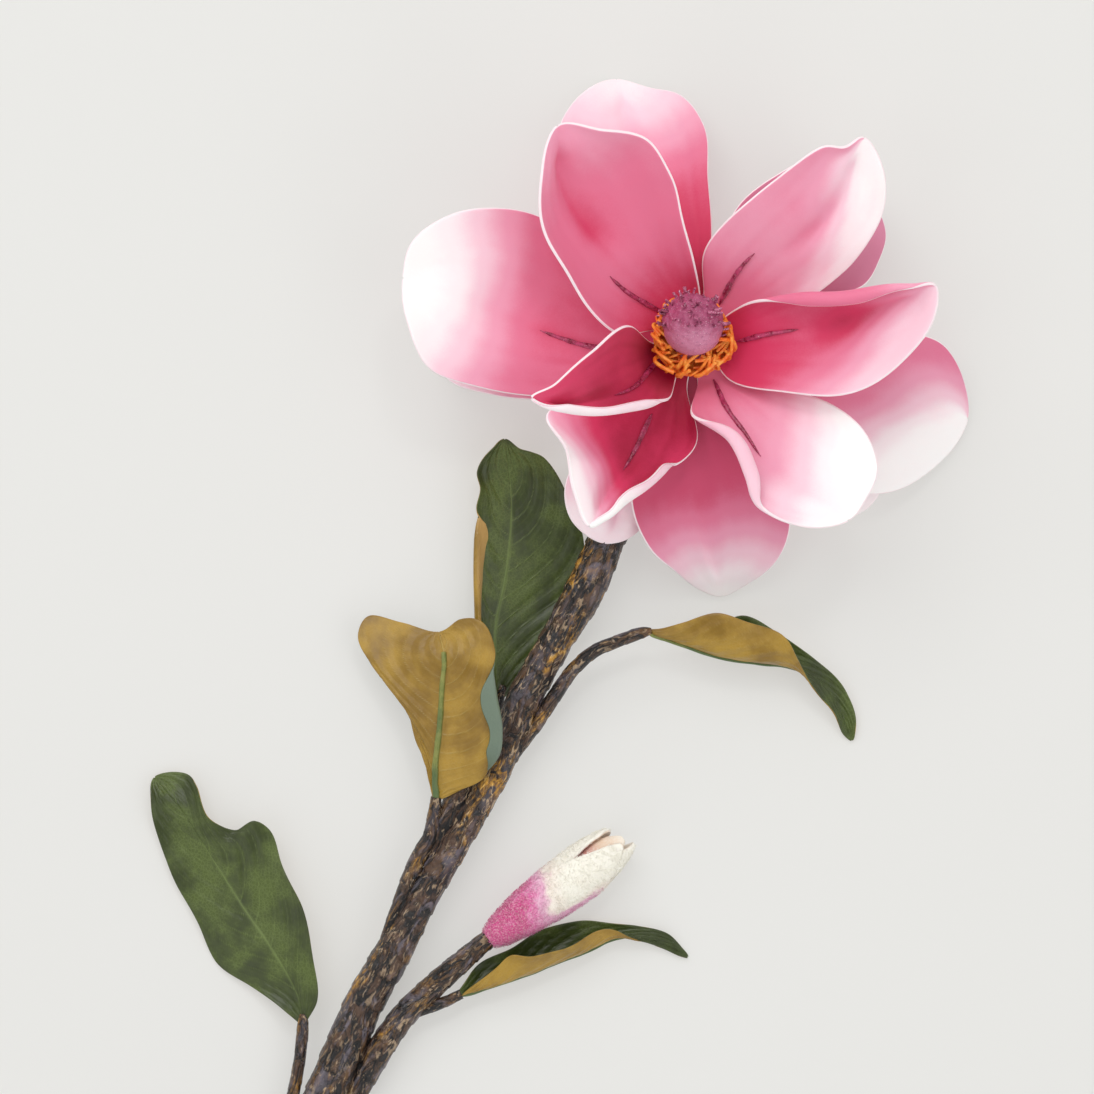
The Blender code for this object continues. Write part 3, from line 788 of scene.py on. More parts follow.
def carried_frames(path: Grid) -> tuple[Grid, Grid]:
    """Two directions across a path, carried along it without twist.

    Args:
        path: points along the path.

    Returns:
        The first and the second direction at each point.
    """
    tangents = unit(np.gradient(path, axis=0))
    start = np.array([0.0, 0.0, 1.0])
    if abs(tangents[0] @ start) > 0.9:
        start = np.array([1.0, 0.0, 0.0])
    firsts = [unit(start - tangents[0] * (start @ tangents[0]))]
    for tangent in tangents[1:]:
        kept = firsts[-1] - tangent * (firsts[-1] @ tangent)
        firsts.append(unit(kept))
    first = np.array(firsts)
    return first, np.cross(tangents, first)


@dataclass(frozen=True)
class Tube:
    """A round piece along a path, with its radius and relief given at each point."""
    path: Grid
    radii: Grid
    segments: int = 24

    def rings(self) -> Grid:
        """Unit directions from the path to each ring point."""
        first, second = carried_frames(self.path)
        angle = np.arange(self.segments) / self.segments * TURN
        return (first[:, None] * np.cos(angle)[None, :, None]
                + second[:, None] * np.sin(angle)[None, :, None])

    def build(self, name: str, material: Material,
              relief: Grid | None = None,
              attributes: dict[str, Grid] | None = None) -> Piece:
        """Make the closed tube.

        Args:
            name: of the piece.
            material: its finish.
            relief: millimetres added to the radius at each ring point.
            attributes: values at each ring point, by name.

        Returns:
            The finished object.
        """
        reach = np.repeat(self.radii[:, None], self.segments, 1)
        if relief is not None:
            reach = reach + relief
        ring = self.path[:, None] + self.rings() * reach[..., None]
        spread = {}
        for key, value in (attributes or {}).items():
            flat = value.reshape(-1, value.shape[2]) if value.ndim == 3 else value.ravel()
            spread[key] = np.concatenate([flat, [value[0].mean(0), value[-1].mean(0)]])
        faces = tube_faces(len(self.path), self.segments)
        return make_object(name, world(capped(ring)), faces, material, spread)


@dataclass(frozen=True)
class WrappedWood:
    """A twig or stem wound with film: a spiral of ledges over crinkles."""
    name: str
    points: list[Point]
    radii: list[float]
    pitch: float = 9.0         # millimetres of stem to a turn of film
    ledge: float = 0.45        # height of the film's edge
    rise: float = 0.08         # part of a turn over which that edge rises
    # the painted shadow below each film edge spans this part of a turn
    shade: float = 0.12        # part of a turn that it darkens
    crinkle: float = 0.35
    segments: int = 40
    spacing: float = 0.45      # millimetres between rings
    stretch: float = 0.4       # lengthwise scale of the film's pattern

    def build(self) -> Piece:
        """Build the wound piece.

        Returns:
            The finished object, with a ``ledge`` attribute that holds the painted shadow below each film
            edge.
        """
        dense = smooth_path([(*point, radius) for point, radius in zip(self.points, self.radii)])
        length = np.linalg.norm(np.diff(dense[:, :3], axis=0), axis=1).sum()
        rows = max(12, int(length / self.spacing))
        samples = along(dense, np.linspace(0, 1, rows))
        tube = Tube(samples[:, :3], samples[:, 3], self.segments)
        around = np.arange(self.segments) / self.segments
        distance = np.linspace(0, length, rows)[:, None]
        skin = tube.path[:, None] + tube.rings() * tube.radii[:, None, None]
        wander = field_noise(skin, 0.10, 3.1)
        turn = (distance / self.pitch + around[None] + 0.35 * wander) % 1.0
        step = np.clip(turn / self.rise, 0, 1) * (1 - turn)
        lumps = field_noise(skin, 0.16, 11.7)
        folds = 1 - np.abs(field_noise(skin * np.array([1.0, 0.55, 1.0]), 0.42, 5.3)) * 2
        fine = field_noise(skin, 0.9, 8.9)
        relief = self.ledge * (step - 0.5) + self.crinkle * (0.6 * lumps + 0.5 * folds + 0.3 * fine)
        fade = np.minimum(1.0, tube.radii / 4.0)[:, None]
        shadow = np.clip(1 - turn / self.shade, 0, 1)
        angle = around[None] * TURN
        wound = np.stack([np.cos(angle) * tube.radii[:, None], np.sin(angle) * tube.radii[:, None],
                          np.repeat(distance * self.stretch, self.segments, 1)], -1) * MM
        return tube.build(self.name, Finish.WRAP.get(), relief * fade,
                          {"ledge": shadow, "wound": wound})


class Side(Enum):
    """An edge of a blade, seen from above with its tip away."""
    LEFT = -1
    RIGHT = 1


@dataclass(frozen=True)
class Curl:
    """A margin that rolls up and over, so that the blade's other face shows along it."""
    side: Side
    start: float               # where it begins and ends along the blade
    end: float
    radius: float              # of the roll, in millimetres
    flap: float = 0.0          # flat length beyond the roll
    turn: float = 165.0        # degrees
    fade: float = 0.14         # length over which it grows and dies away
    share: float = 0.30        # part of the half blade's columns that go into the roll
    phase: float = 1.0         # where along the margin the flap is widest

    def apply(self, surface: Grid, normals: Grid, u: Grid, v: Grid) -> Grid:
        """Roll the margin.

        Args:
            surface: points of the blade.
            normals: directions out of its upper face.
            u: places along the blade.
            v: places across it.

        Returns:
            The blade's points with the margin rolled.
        """
        sign = self.side.value
        amount = ease(self.start, self.start + self.fade, u)
        amount = amount * (1 - ease(self.end - self.fade, self.end, u))
        edge = -1 if sign > 0 else 0
        middle = len(v) // 2
        half = np.linalg.norm(surface[:, edge] - surface[:, middle], axis=1)
        radius = np.minimum(self.radius * amount, 0.3 * half) + 1e-3
        up = unit(normals[:, edge])
        out = unit(np.cross(np.gradient(surface[:, edge], axis=0), up)) * sign
        inner = 1 - self.share
        rolled = surface.copy()
        reach = sign * v
        flat = (reach > 0) & (reach <= inner)
        over = reach > inner
        turn = math.radians(self.turn)
        for row in range(len(u)):
            keep = 1 - radius[row] / max(half[row], 1e-6)
            places = np.concatenate([v[flat] / inner * keep, [sign * keep]])
            moved = np.stack([np.interp(places, v, surface[row, :, axis]) for axis in range(3)], -1)
            rolled[row, flat] = moved[:-1]
            wave = 1 + 0.22 * math.sin(26 * u[row] + self.phase)
            length = radius[row] * turn + self.flap * amount[row] * wave
            step = (reach[over] - inner) / self.share * length
            bend = np.minimum(step / radius[row], turn)
            rest = np.maximum(step - radius[row] * turn, 0)
            aside = radius[row] * np.sin(bend) + rest * math.cos(turn)
            lift = radius[row] * (1 - np.cos(bend)) + rest * math.sin(turn)
            rolled[row, over] = moved[-1] + aside[:, None] * out[row] + lift[:, None] * up[row]
        blend = amount[:, None, None]
        return surface * (1 - blend) + rolled * blend


# ---- petals


@dataclass(frozen=True)
class Tier:
    """Where a ring of petals meets the receptacle."""
    radius: float
    drop: float


class Tiers(Enum):
    """The rings of petals, from the top of the receptacle down."""
    INNER = Tier(5.6, -1.5)
    MIDDLE = Tier(6.4, -3.6)
    OUTER = Tier(7.2, -5.7)
    UNDER = Tier(8.0, -7.8)


@dataclass(frozen=True)
class Tint:
    """How a petal is airbrushed, from 0 (crimson) to 1 (white)."""
    base: float
    body: float
    tip: float
    start: float
    end: float
    edge: float = 0.0
    lean: float = 0.0          # above 0, the right side pales first
    back: float = 0.15
    dusk: float = 0.0          # how mauve the foam is

    def tone(self, u: Grid, v: Grid) -> Grid:
        """The tone over a petal's upper face.

        Args:
            u, v: places along the petal (one column) and across it (one row).

        Returns:
            The tone at each point.
        """
        rise = self.base + (self.body - self.base) * ease(0.05, 0.42, u)
        painted_sheen_patches = (self.tip - self.body) * ease(self.start, self.end, u + self.lean * v)
        return rise + painted_sheen_patches + self.edge * np.abs(v) ** 3 * ease(0.15, 0.6, u)


@dataclass(frozen=True)
class Rib:
    """A raised line on a petal: where it starts, ends and lies across."""
    start: float
    end: float
    across: float
    sweep: float = 0.0         # how far it drifts across by its end
    radius: float = 0.72
    stand: float = 0.28        # height of its middle above the petal's face
    steps: int = 60
    segments: int = 14


@dataclass(frozen=True)
class Crease:
    """A soft valley along a petal, with painted shade along it."""
    start: float = 0.42
    end: float = 0.98
    across: float = 0.0
    depth: float = 1.5         # millimetres
    width: float = 0.24
    # how far the painted shade lowers the tone in the valley
    shade: float = 0.09

    def strength(self, u: Grid, v: Grid) -> Grid:
        """How far each point lies in the valley, from 0 to 1."""
        middle = self.across + 0.05 * np.sin(5 * u)
        run = ease(self.start, self.start + 0.22, u) * (1 - ease(self.end - 0.12, self.end, u))
        return np.exp(-((v - middle) / self.width) ** 2) * run


@dataclass(frozen=True)
class Petal:
    """One foam petal, about the top of the receptacle."""
    tier: Tiers
    claw: float
    left: list[Point]
    spine: list[Point]
    right: list[Point]
    tip: Point
    tint: Tint
    roll: tuple[float, float] = (0.0, 0.0)
    wave: float = 0.8
    crease: Crease = Crease()
    curls: tuple[Curl, ...] = ()
    rib: Rib | None = None
    thickness: float = 1.15
    rows: int = 84
    columns: int = 61
    claw_half_width: float = 2.6

    def blade(self) -> Blade:
        """The petal's bare surface, with the foot of its claw on the receptacle."""
        angle = math.radians(self.claw)
        out = np.array([math.cos(angle), math.sin(angle), 0.0])
        across = np.array([-out[1], out[0], 0.0]) * self.claw_half_width
        tier = self.tier.value
        foot = out * tier.radius + np.array([0, 0, tier.drop])
        base = tuple(tuple(point) for point in (foot + across, foot, foot - across))
        return Blade(base, self.left, self.spine, self.right, self.tip, self.roll)

    def relief(self, u: Grid, v: Grid, seed: int) -> tuple[Grid, Grid]:
        """Soft waves at the edges and shallow furrows along the petal.

        Args:
            u, v: places along the petal (one column) and across it (one row).
            seed: the petal's own number.

        Returns:
            Millimetres along the normal, and the furrows' pattern from -1 to 1.
        """
        rng = np.random.default_rng(seed)
        phase = rng.uniform(0, TURN, 6)
        edge = np.abs(v) ** 2.5 * ease(0.2, 0.55, u)
        waves = np.sin(TURN * (1.6 * u + 0.25 * v) + phase[0]) * 0.6
        waves = waves + np.sin(TURN * (3.3 * u - 0.2 * v) + phase[1]) * 0.4
        fan = v * (1.15 - 0.35 * u)
        furrow = np.sin(17 * fan + phase[2]) + 0.6 * np.sin(31 * fan + phase[3] + 2 * u)
        furrow = furrow * ease(0.04, 0.3, u) * (1 - 0.4 * ease(0.6, 1.0, u)) / 1.6
        dent = np.sin(TURN * (1.1 * u + 0.7 * v) + phase[4]) * (1 - v * v)
        pucker = np.sin(5 * v + phase[5]) * ease(0.66, 0.84, u) * (1 - v * v) * 0.7
        height = self.wave * edge * waves + 0.05 * furrow + 0.45 * dent * ease(0.2, 0.5, u) + pucker
        height = height - self.crease.depth * self.crease.strength(u, v)
        return height * (1 - ease(0.84, 0.98, u)), furrow * (1 - ease(0.8, 0.96, u))

    def build(self, name: str, seed: int) -> list[Piece]:
        """Build the petal and its rib.

        Args:
            name: the CAD node that the petal stands for.
            seed: the petal's own number.

        Returns:
            The new pieces.
        """
        blade = self.blade()
        u = np.minimum(crowded(self.rows, 1.35), LAST_ROW)
        even = np.linspace(-1, 1, self.columns)
        v = np.sin(even * math.pi / 2) * 0.4 + even * 0.6
        raise_up = np.array([0, 0, FLOWER_HEIGHT])
        bare = blade.surface(u, v) + raise_up
        height, furrow = self.relief(u[:, None], v[None], seed)
        surface = bare + blade.normals(bare) * height[..., None]
        for curl in self.curls:
            surface = curl.apply(surface, blade.normals(surface), u, v)
        shell = Shell(surface, blade.normals(surface), self.thickness)
        valley = self.crease.strength(u[:, None], v[None])
        # painted shade darkens the tone along the crease
        tone = self.tint.tone(u[:, None], v[None]) - self.crease.shade * valley
        back = self.tint.tone(u[:, None], v[None] * 0.5) * 0.8 + self.tint.back
        dusk = self.tint.dusk * np.clip(1.15 - tone, 0, 1)
        fields = {"tone": (tone, back), "streak": (furrow, furrow), "dusk": (dusk, dusk)}
        piece = shell.build(name + "_foam", Finish.PETAL.get(), fields)
        pieces = [finish_piece(piece, "petal_foam", name)]
        if self.rib is not None:
            pieces.append(self.build_rib(name, u, v, surface, shell.normals))
        return pieces

    def build_rib(self, name: str, u: Grid, v: Grid,
                  surface: Grid, normals: Grid) -> Piece:
        """Build the raised line, half sunk in the petal and pointed at both ends.

        Args:
            name: the petal's CAD node.
            u, v: places along and across the petal.
            surface: points of the petal's middle surface.
            normals: directions out of its upper face.

        Returns:
            The finished line.
        """
        rib = self.rib
        steps = np.linspace(0, 1, rib.steps)
        at = rib.start + (rib.end - rib.start) * steps
        across = rib.across + rib.sweep * steps
        rows = np.interp(at, u, np.arange(len(u)))
        columns = np.interp(across, v, np.arange(len(v)))
        out = unit(sample(normals, rows, columns)) * (self.thickness / 2 + rib.stand)
        path = sample(surface, rows, columns) + out
        swell = np.minimum(1, (np.sin(math.pi * np.clip(steps, 0.02, 0.98)) * 1.6) ** 0.6)
        radii = rib.radius * swell * (1.4 - 0.7 * steps + 0.08 * np.sin(steps * 23))
        tube = Tube(path, radii, rib.segments)
        skin = path[:, None] + tube.rings() * radii[:, None, None]
        relief = field_noise(skin, 0.6, 2.3) * 0.12 * swell[:, None]
        piece = tube.build(name.replace("petal", "rib") + "_line", Finish.RIB.get(), relief)
        return finish_piece(piece, "petal_rib", name.replace("petal", "rib"))


@dataclass(frozen=True)
class Flower:
    """The fourteen petals, with the ribs on their upper faces."""
    petals: dict[str, Petal] = field(default_factory=lambda: {
        "inner_petal_upper_left": Petal(
            Tiers.INNER, 113,
            [(-11, 5, -1), (-25, 4, 14), (-40, 21, 27), (-47, 35, 33), (-48, 51, 36)],
            [(-6, 11, -1.2), (-12, 17, 2), (-26, 30, 12), (-38, 46, 22)],
            [(2, 13, -1.2), (0, 26, 11), (-4, 40, 20), (-8, 53, 27), (-15, 64, 31), (-29, 67, 34)],
            (-43, 68, 34), Tint(0.18, 0.32, 0.46, 0.5, 0.95, edge=0.05),
            crease=Crease(0.35, 0.97, -0.04, 2.0, 0.22, 0.12), rib=Rib(0.10, 0.37, -0.32)),
        "inner_petal_right": Petal(
            Tiers.INNER, 5,
            [(10, 8, -0.9), (21, 14, 14), (36, 16, 25), (54, 17, 31), (68, 18, 33)],
            [(12, 0, -1.2), (24, 2, 7), (46, 5, 17), (64, 12, 26)],
            [(12, -11, 1), (29, -15, 12), (47, -16, 19), (63, -8, 24), (75, 6, 29)],
            (76, 18, 31), Tint(0.12, 0.22, 0.66, 0.5, 1.0, edge=0.10, lean=0.35), (4, 0),
            crease=Crease(0.4, 0.98, 0.0, 2.4, 0.2, 0.14),
            curls=(Curl(Side.LEFT, 0.14, 1.1, 1.9, 0.4, 140, fade=0.4),), rib=Rib(0.12, 0.40, -0.06)),
        "inner_petal_lower_left": Petal(
            Tiers.INNER, 200,
            [(-6, -12, 1), (-10, -19, 22), (-26, -23, 38), (-41, -23, 49)],
            [(-12, -4, -1), (-19, -11, 16), (-30, -17, 36), (-42, -20, 49)],
            [(-12, 0, -0.5), (-22, 5, 26), (-33, -4, 41), (-44, -14, 52)],
            (-51, -18, 56), Tint(0.0, 0.09, 0.2, 0.5, 1.0, back=0.75),
            wave=0.4, curls=(Curl(Side.LEFT, 0.22, 1.1, 1.3, 0.3, 135, fade=0.25),),
            rib=Rib(0.05, 0.54, -0.16)),
        "middle_petal_left": Petal(
            Tiers.MIDDLE, 169,
            [(-17, -7, -4), (-33, -14, -3), (-49, -16, 0), (-69, -13, 4), (-84, -7, 7), (-91, 8, 8)],
            [(-13, 2, -4), (-29, -1, -3), (-50, 5, 0), (-74, 16, 4)],
            [(-13, 10, -3.5), (-29, 27, -3), (-48, 40, 1), (-63, 43, 6), (-76, 41, 9), (-89, 32, 9)],
            (-92, 21, 7), Tint(0.20, 0.28, 0.98, 0.42, 0.92, edge=0.04),
            crease=Crease(0.3, 0.8, 0.02, 1.2, 0.3, 0.05), rib=Rib(0.21, 0.48, 0.0)),
        "middle_petal_upper_right": Petal(
            Tiers.MIDDLE, 48,
            [(4, 15, -3), (4, 29, 5), (11, 39, 10), (26, 51, 17), (41, 62, 21), (48, 62, 20)],
            [(10, 10, -3.4), (23, 23, 2), (37, 34, 8), (47, 46, 12)],
            [(16, 7, -3.4), (33, 13, -1), (44, 20, 2), (52, 28, 6), (60, 42, 11), (60, 55, 16)],
            (54, 65, 18), Tint(0.28, 0.47, 0.95, 0.42, 1.0, lean=0.40),
            crease=Crease(0.4, 0.99, 0.0, 2.2, 0.2, 0.12), rib=Rib(0.11, 0.37, -0.35)),
        "middle_petal_lower_right": Petal(
            Tiers.MIDDLE, 305,
            [(14, -11, -3.4), (30, -15, 3), (43, -19, 8), (54, -28, 12), (58, -40, 15), (54, -50, 16)],
            [(8, -11, -3.4), (15, -22, 4), (26, -36, 10), (38, -47, 14)],
            [(2, -13, -3), (0, -23, 9), (12, -30, 17), (17, -42, 19), (20, -52, 17), (35, -58, 16)],
            (49, -56, 16), Tint(0.32, 0.44, 0.95, 0.40, 0.9, edge=0.2, lean=-0.2,
                                  back=0.3), (0, 6),
            curls=(Curl(Side.RIGHT, 0.12, 0.9, 1.9, 0.5, 130, fade=0.36),), rib=Rib(0.10, 0.53, 0.12)),
        "middle_petal_bottom_left": Petal(
            Tiers.MIDDLE, 241,
            [(-2, -14, -3.6), (1, -31, -1), (-10, -42, 8), (-21, -51, 18), (-28, -56, 24)],
            [(-6, -11, -3.6), (-13, -22, 1), (-20, -37, 10), (-28, -49, 20)],
            [(-12, -10, -3.4), (-29, -15, 6), (-46, -23, 18), (-40, -34, 22), (-38, -47, 25)],
            (-33, -58, 27), Tint(0.0, 0.07, 0.86, 0.52, 1.02, edge=0.13, lean=0.22,
                                   back=0.7),
            curls=(Curl(Side.LEFT, 0.42, 1.1, 1.9, 0.6, 150),), rib=Rib(0.30, 0.62, 0.0)),
        "outer_petal_top": Petal(
            Tiers.OUTER, 98,
            [(-6, 13, -6), (-20, 30, -8), (-34, 50, -14), (-42, 68, -22), (-38, 78, -28),
             (-31, 84, -32)],
            [(-1, 14, -6), (-6, 38, -11), (-15, 62, -21)],
            [(4, 13, -6), (6, 34, -8), (5, 53, -15), (4, 70, -23), (-3, 80, -29), (-13, 83, -33)],
            (-24, 86, -35), Tint(0.0, 0.20, 0.84, 0.40, 0.98)),
        "outer_petal_upper_right": Petal(
            Tiers.OUTER, 36,
            [(8, 13, -6), (9, 30, -7), (15, 44, -9), (27, 54, -13), (39, 59, -17)],
            [(11, 9, -6), (28, 26, -9), (44, 42, -16)],
            [(15, 6, -6), (35, 14, -8), (54, 19, -12), (60, 28, -17), (62, 37, -20)],
            (55, 51, -22), Tint(0.22, 0.38, 0.55, 0.4, 1.0, dusk=0.7)),
        "outer_petal_right": Petal(
            Tiers.OUTER, 346,
            [(14, 2, -6), (35, 7, -8), (57, 8, -14), (71, 4, -19), (81, 0, -25), (87, -10, -30)],
            [(14, -4, -6), (38, -13, -10), (63, -19, -20)],
            [(12, -9, -6), (28, -27, -11), (46, -43, -17), (57, -47, -22), (70, -44, -28),
             (83, -34, -32)],
            (89, -23, -33), Tint(0.20, 0.34, 1.0, 0.42, 0.95, lean=0.3, dusk=0.3)),
        "outer_petal_bottom": Petal(
            Tiers.OUTER, 275,
            [(7, -14, -6), (22, -30, -10), (30, -46, -15), (31, -59, -21), (27, -69, -27),
             (18, -76, -32)],
            [(1, -15, -6), (3, -37, -10), (5, -59, -20)],
            [(-4, -14, -6), (-14, -30, -6), (-19, -48, -8), (-14, -64, -13), (-5, -72, -22),
             (3, -78, -31)],
            (10, -80, -34), Tint(0.0, 0.15, 0.98, 0.42, 1.0, dusk=0.30),
            crease=Crease(0.4, 0.98, 0.0, 1.6, 0.24, 0.08)),
        "outer_petal_left": Petal(
            Tiers.OUTER, 187,
            [(-13, -6, -6), (-29, -16, -9), (-47, -17, -13), (-65, -15, -20), (-77, -11, -27)],
            [(-14, -2, -6), (-39, -2, -12), (-61, 0, -21)],
            [(-13, 5, -6), (-33, 14, -10), (-52, 18, -15), (-71, 14, -25)],
            (-84, 0, -33), Tint(0.15, 0.35, 0.8, 0.35, 0.9)),
        "under_petal_lower_right": Petal(
            Tiers.UNDER, 317,
            [(14, -8, -8), (35, -18, -13), (52, -32, -22), (61, -44, -29)],
            [(11, -11, -8), (30, -27, -15), (46, -43, -25)],
            [(6, -14, -8), (14, -30, -14), (28, -46, -22), (43, -54, -31)],
            (55, -53, -34), Tint(0.2, 0.4, 0.9, 0.35, 0.85)),
        "under_petal_bottom_left": Petal(
            Tiers.UNDER, 247,
            [(-3, -15, -8.4), (-8, -30, -12), (-13, -46, -15), (-17, -59, -16)],
            [(-6, -14, -8.2), (-15, -30, -10), (-22, -48, -12.5)],
            [(-12, -11, -8), (-28, -26, -9), (-40, -44, -10), (-38, -56, -12.5)],
            (-28, -63, -14.5), Tint(0.2, 0.4, 0.85, 0.35, 0.85, dusk=0.2)),
    })

    def build(self) -> None:
        """Build every petal and its rib."""
        for seed, (name, petal) in enumerate(self.petals.items()):
            petal.build(name, seed)


# ---- node trees


class GeometryTree(NodeTree):
    """A Geometry Nodes tree with named inputs, which makes what repeats."""

    def __init__(self, name: str, inputs: dict[str, tuple[str, object]]) -> None:
        """Start a tree that takes a mesh and gives a mesh.

        Args:
            name: the tree's name.
            inputs: for each input, its short type name and its value.
        """
        super().__init__(bpy.data.node_groups.new(name, "GeometryNodeTree"))
        face = self.tree.interface
        face.new_socket("Geometry", in_out="INPUT", socket_type="NodeSocketGeometry")
        self.sockets = {}
        for key, (kind, value) in inputs.items():
            socket = face.new_socket(key, in_out="INPUT", socket_type="NodeSocket" + kind)
            self.sockets[key] = (socket.identifier, value)
        face.new_socket("Geometry", in_out="OUTPUT", socket_type="NodeSocketGeometry")
        self.start = self.tree.nodes.new("NodeGroupInput")
        self.end = self.tree.nodes.new("NodeGroupOutput")

    def given(self, name: str) -> Socket:
        """One of the tree's named inputs."""
        return self.start.outputs[name]

    def vector(self, **parts: object) -> Socket:
        """A vector from the values or sockets of its X, Y and Z."""
        return self.add("ShaderNodeCombineXYZ", parts).outputs[0]

    def random(self, low: object, high: object, shift: int, kind: str = "FLOAT") -> Socket:
        """A random value for each point.

        Args:
            low: the least value.
            high: the greatest value.
            shift: added to the tree's Seed.
            kind: FLOAT, FLOAT_VECTOR or INT.

        Returns:
            The value's socket.
        """
        seed = self.math("ADD", self.given("Seed"), float(shift))
        places = {"FLOAT": (2, 3, 1), "FLOAT_VECTOR": (0, 1, 0), "INT": (4, 5, 2)}
        low_at, high_at, out_at = places[kind]
        node = self.add("FunctionNodeRandomValue", {low_at: low, high_at: high, "Seed": seed},
                        data_type=kind)
        return node.outputs[out_at]

    def strand(self, middle: object, end: object, base: float, tip: float, swell: float,
               sides: int, steps: int) -> Socket:
        """A bent, tapered strand from the origin.

        Args:
            middle: the point that pulls the strand.
            end: the strand's end.
            base: thickness factor at the foot.
            tip: thickness factor at the end.
            swell: extra thickness half way.
            sides: faces around the strand.
            steps: faces along the strand.

        Returns:
            The strand's mesh socket.
        """
        curve = self.add("CurveQuadraticBezier", {"Resolution": steps, "Start": (0, 0, 0),
                                                  "Middle": middle, "End": end}).outputs[0]
        at = self.add("SplineParameter").outputs["Factor"]
        straight = self.add("ShaderNodeMapRange", {
            "Value": at, "To Min": base, "To Max": tip}).outputs[0]
        hump = self.math("SINE", self.times(at, math.pi))
        size = self.math("ADD", self.times(hump, swell), straight)
        thick = self.add("SetCurveRadius", {"Curve": curve, "Radius": size}).outputs[0]
        ring = self.add("CurvePrimitiveCircle", {
            "Resolution": sides, "Radius": self.given("Thickness")})
        return self.add("CurveToMesh", {"Curve": thick, "Profile Curve": ring.outputs[0],
                                        "Fill Caps": True}).outputs[0]

    def finish(self, instances: Socket) -> None:
        """Make the instances real, smooth and dressed, and end the tree."""
        real = self.add("RealizeInstances", {0: instances}).outputs[0]
        smooth = self.add("SetShadeSmooth", {0: real}).outputs[0]
        dressed = self.add("SetMaterial", {0: smooth, "Material": self.given("Material")}).outputs[0]
        self.tree.links.new(dressed, self.end.inputs[0])

    def bake(self, host: Piece, name: str) -> Piece:
        """Run the tree on a host object and keep the result as a plain mesh.

        Args:
            host: the object that the tree starts from; it is removed.
            name: the new piece's name.

        Returns:
            The new object at the origin.
        """
        modifier = host.modifiers.new("tree", "NODES")
        modifier.node_group = self.tree
        for identifier, value in self.sockets.values():
            modifier[identifier] = value
        graph = bpy.context.evaluated_depsgraph_get()
        graph.update()
        mesh = bpy.data.meshes.new_from_object(host.evaluated_get(graph))
        mesh.name = name
        bpy.data.objects.remove(host, do_unlink=True)
        piece = bpy.data.objects.new(name, mesh)
        bpy.context.scene.collection.objects.link(piece)
        return piece


@dataclass(frozen=True)
class Bristles:
    """Short bent bristles, thickest where an attribute of their host is highest."""
    name: str
    finish: Finish
    attribute: str
    power: float                       # that the attribute is raised to
    density: float                     # on a square metre, where the attribute is 1
    length: float                      # millimetres
    thickness: float                   # radius in millimetres
    seed: int
    bend: tuple[float, float, float]   # pull up, end out and end up, as parts of the length
    taper: tuple[float, float, float]  # thickness at the foot and tip, and extra half way
    faces: tuple[int, int]             # round and along each bristle
    tilt_axes: str
    tilt: float                        # radians either way
    sizes: tuple[float, float]

    def tree(self) -> GeometryTree:
        """A tree that sets the bristles over a host mesh."""
        tree = GeometryTree(self.name, {
            "Density": ("Float", self.density), "Length": ("Float", self.length * MM),
            "Thickness": ("Float", self.thickness * MM), "Seed": ("Int", self.seed),
            "Material": ("Material", self.finish.get())})
        share = tree.add("InputNamedAttribute", {"Name": self.attribute},
                         data_type="FLOAT").outputs[0]
        if self.power != 1:
            share = tree.math("POWER", share, self.power)
        points = tree.add("DistributePointsOnFaces", {
            "Mesh": tree.given("Geometry"), "Density": tree.times(share, tree.given("Density")),
            "Seed": tree.given("Seed")})
        pull, out, up = (tree.times(tree.given("Length"), part) for part in self.bend)
        strand = tree.strand(tree.vector(Z=pull), tree.vector(X=out, Z=up), *self.taper, *self.faces)
        tilts = {axis: tree.random(-self.tilt, self.tilt, shift)
                 for shift, axis in enumerate(self.tilt_axes, 1)}
        used = len(tilts)
        turn = tree.vector(**tilts, Z=tree.random(0.0, TURN, used + 1))
        facing = tree.add("FunctionNodeRotateRotation", {
            "Rotation": points.outputs["Rotation"], "Rotate By": turn}, rotation_space="LOCAL")
        placed = tree.add("InstanceOnPoints", {
            "Points": points.outputs["Points"], "Instance": strand, "Rotation": facing.outputs[0],
            "Scale": tree.random(*self.sizes, used + 2)})
        tree.finish(placed.outputs[0])
        return tree


def join_pieces(name: str, pieces: list[Piece]) -> Piece:
    """Join objects that sit at the origin into the first one.

    Args:
        name: the joined piece's name.
        pieces: the objects.

    Returns:
        The joined object.
    """
    with bpy.context.temp_override(active_object=pieces[0], selected_editable_objects=pieces):
        bpy.ops.object.join()
    pieces[0].name = name
    return pieces[0]


# ---- heart


def lathe(profile: list[tuple[float, float]], segments: int, step: float) -> tuple[Grid, Grid]:
    """Rings about Z from a profile listed top to bottom.

    Args:
        profile: (radius, height) points.
        segments: points in each ring.
        step: distance between rings.

    Returns:
        Ring points from the bottom up (rows, segments, xyz), and each row's outward slope.
    """
    points = np.array(profile[::-1], float)
    length = np.linalg.norm(np.diff(points, axis=0), axis=1).sum()
    fractions = np.linspace(0, 1, int(length / step))
    dense = along(smooth_path([tuple(point) for point in points]), fractions)
    slope = unit(np.gradient(dense, axis=0))
    angle = np.arange(segments) / segments * TURN
    circle = np.stack([np.cos(angle), np.sin(angle)], -1)
    rings = np.concatenate([circle[None] * dense[:, None, :1],
                            np.repeat(dense[:, None, 1:], segments, 1)], -1)
    outward = np.concatenate([circle[None] * slope[:, None, 1:],
                              np.repeat(-slope[:, None, :1], segments, 1)], -1)
    return rings, outward


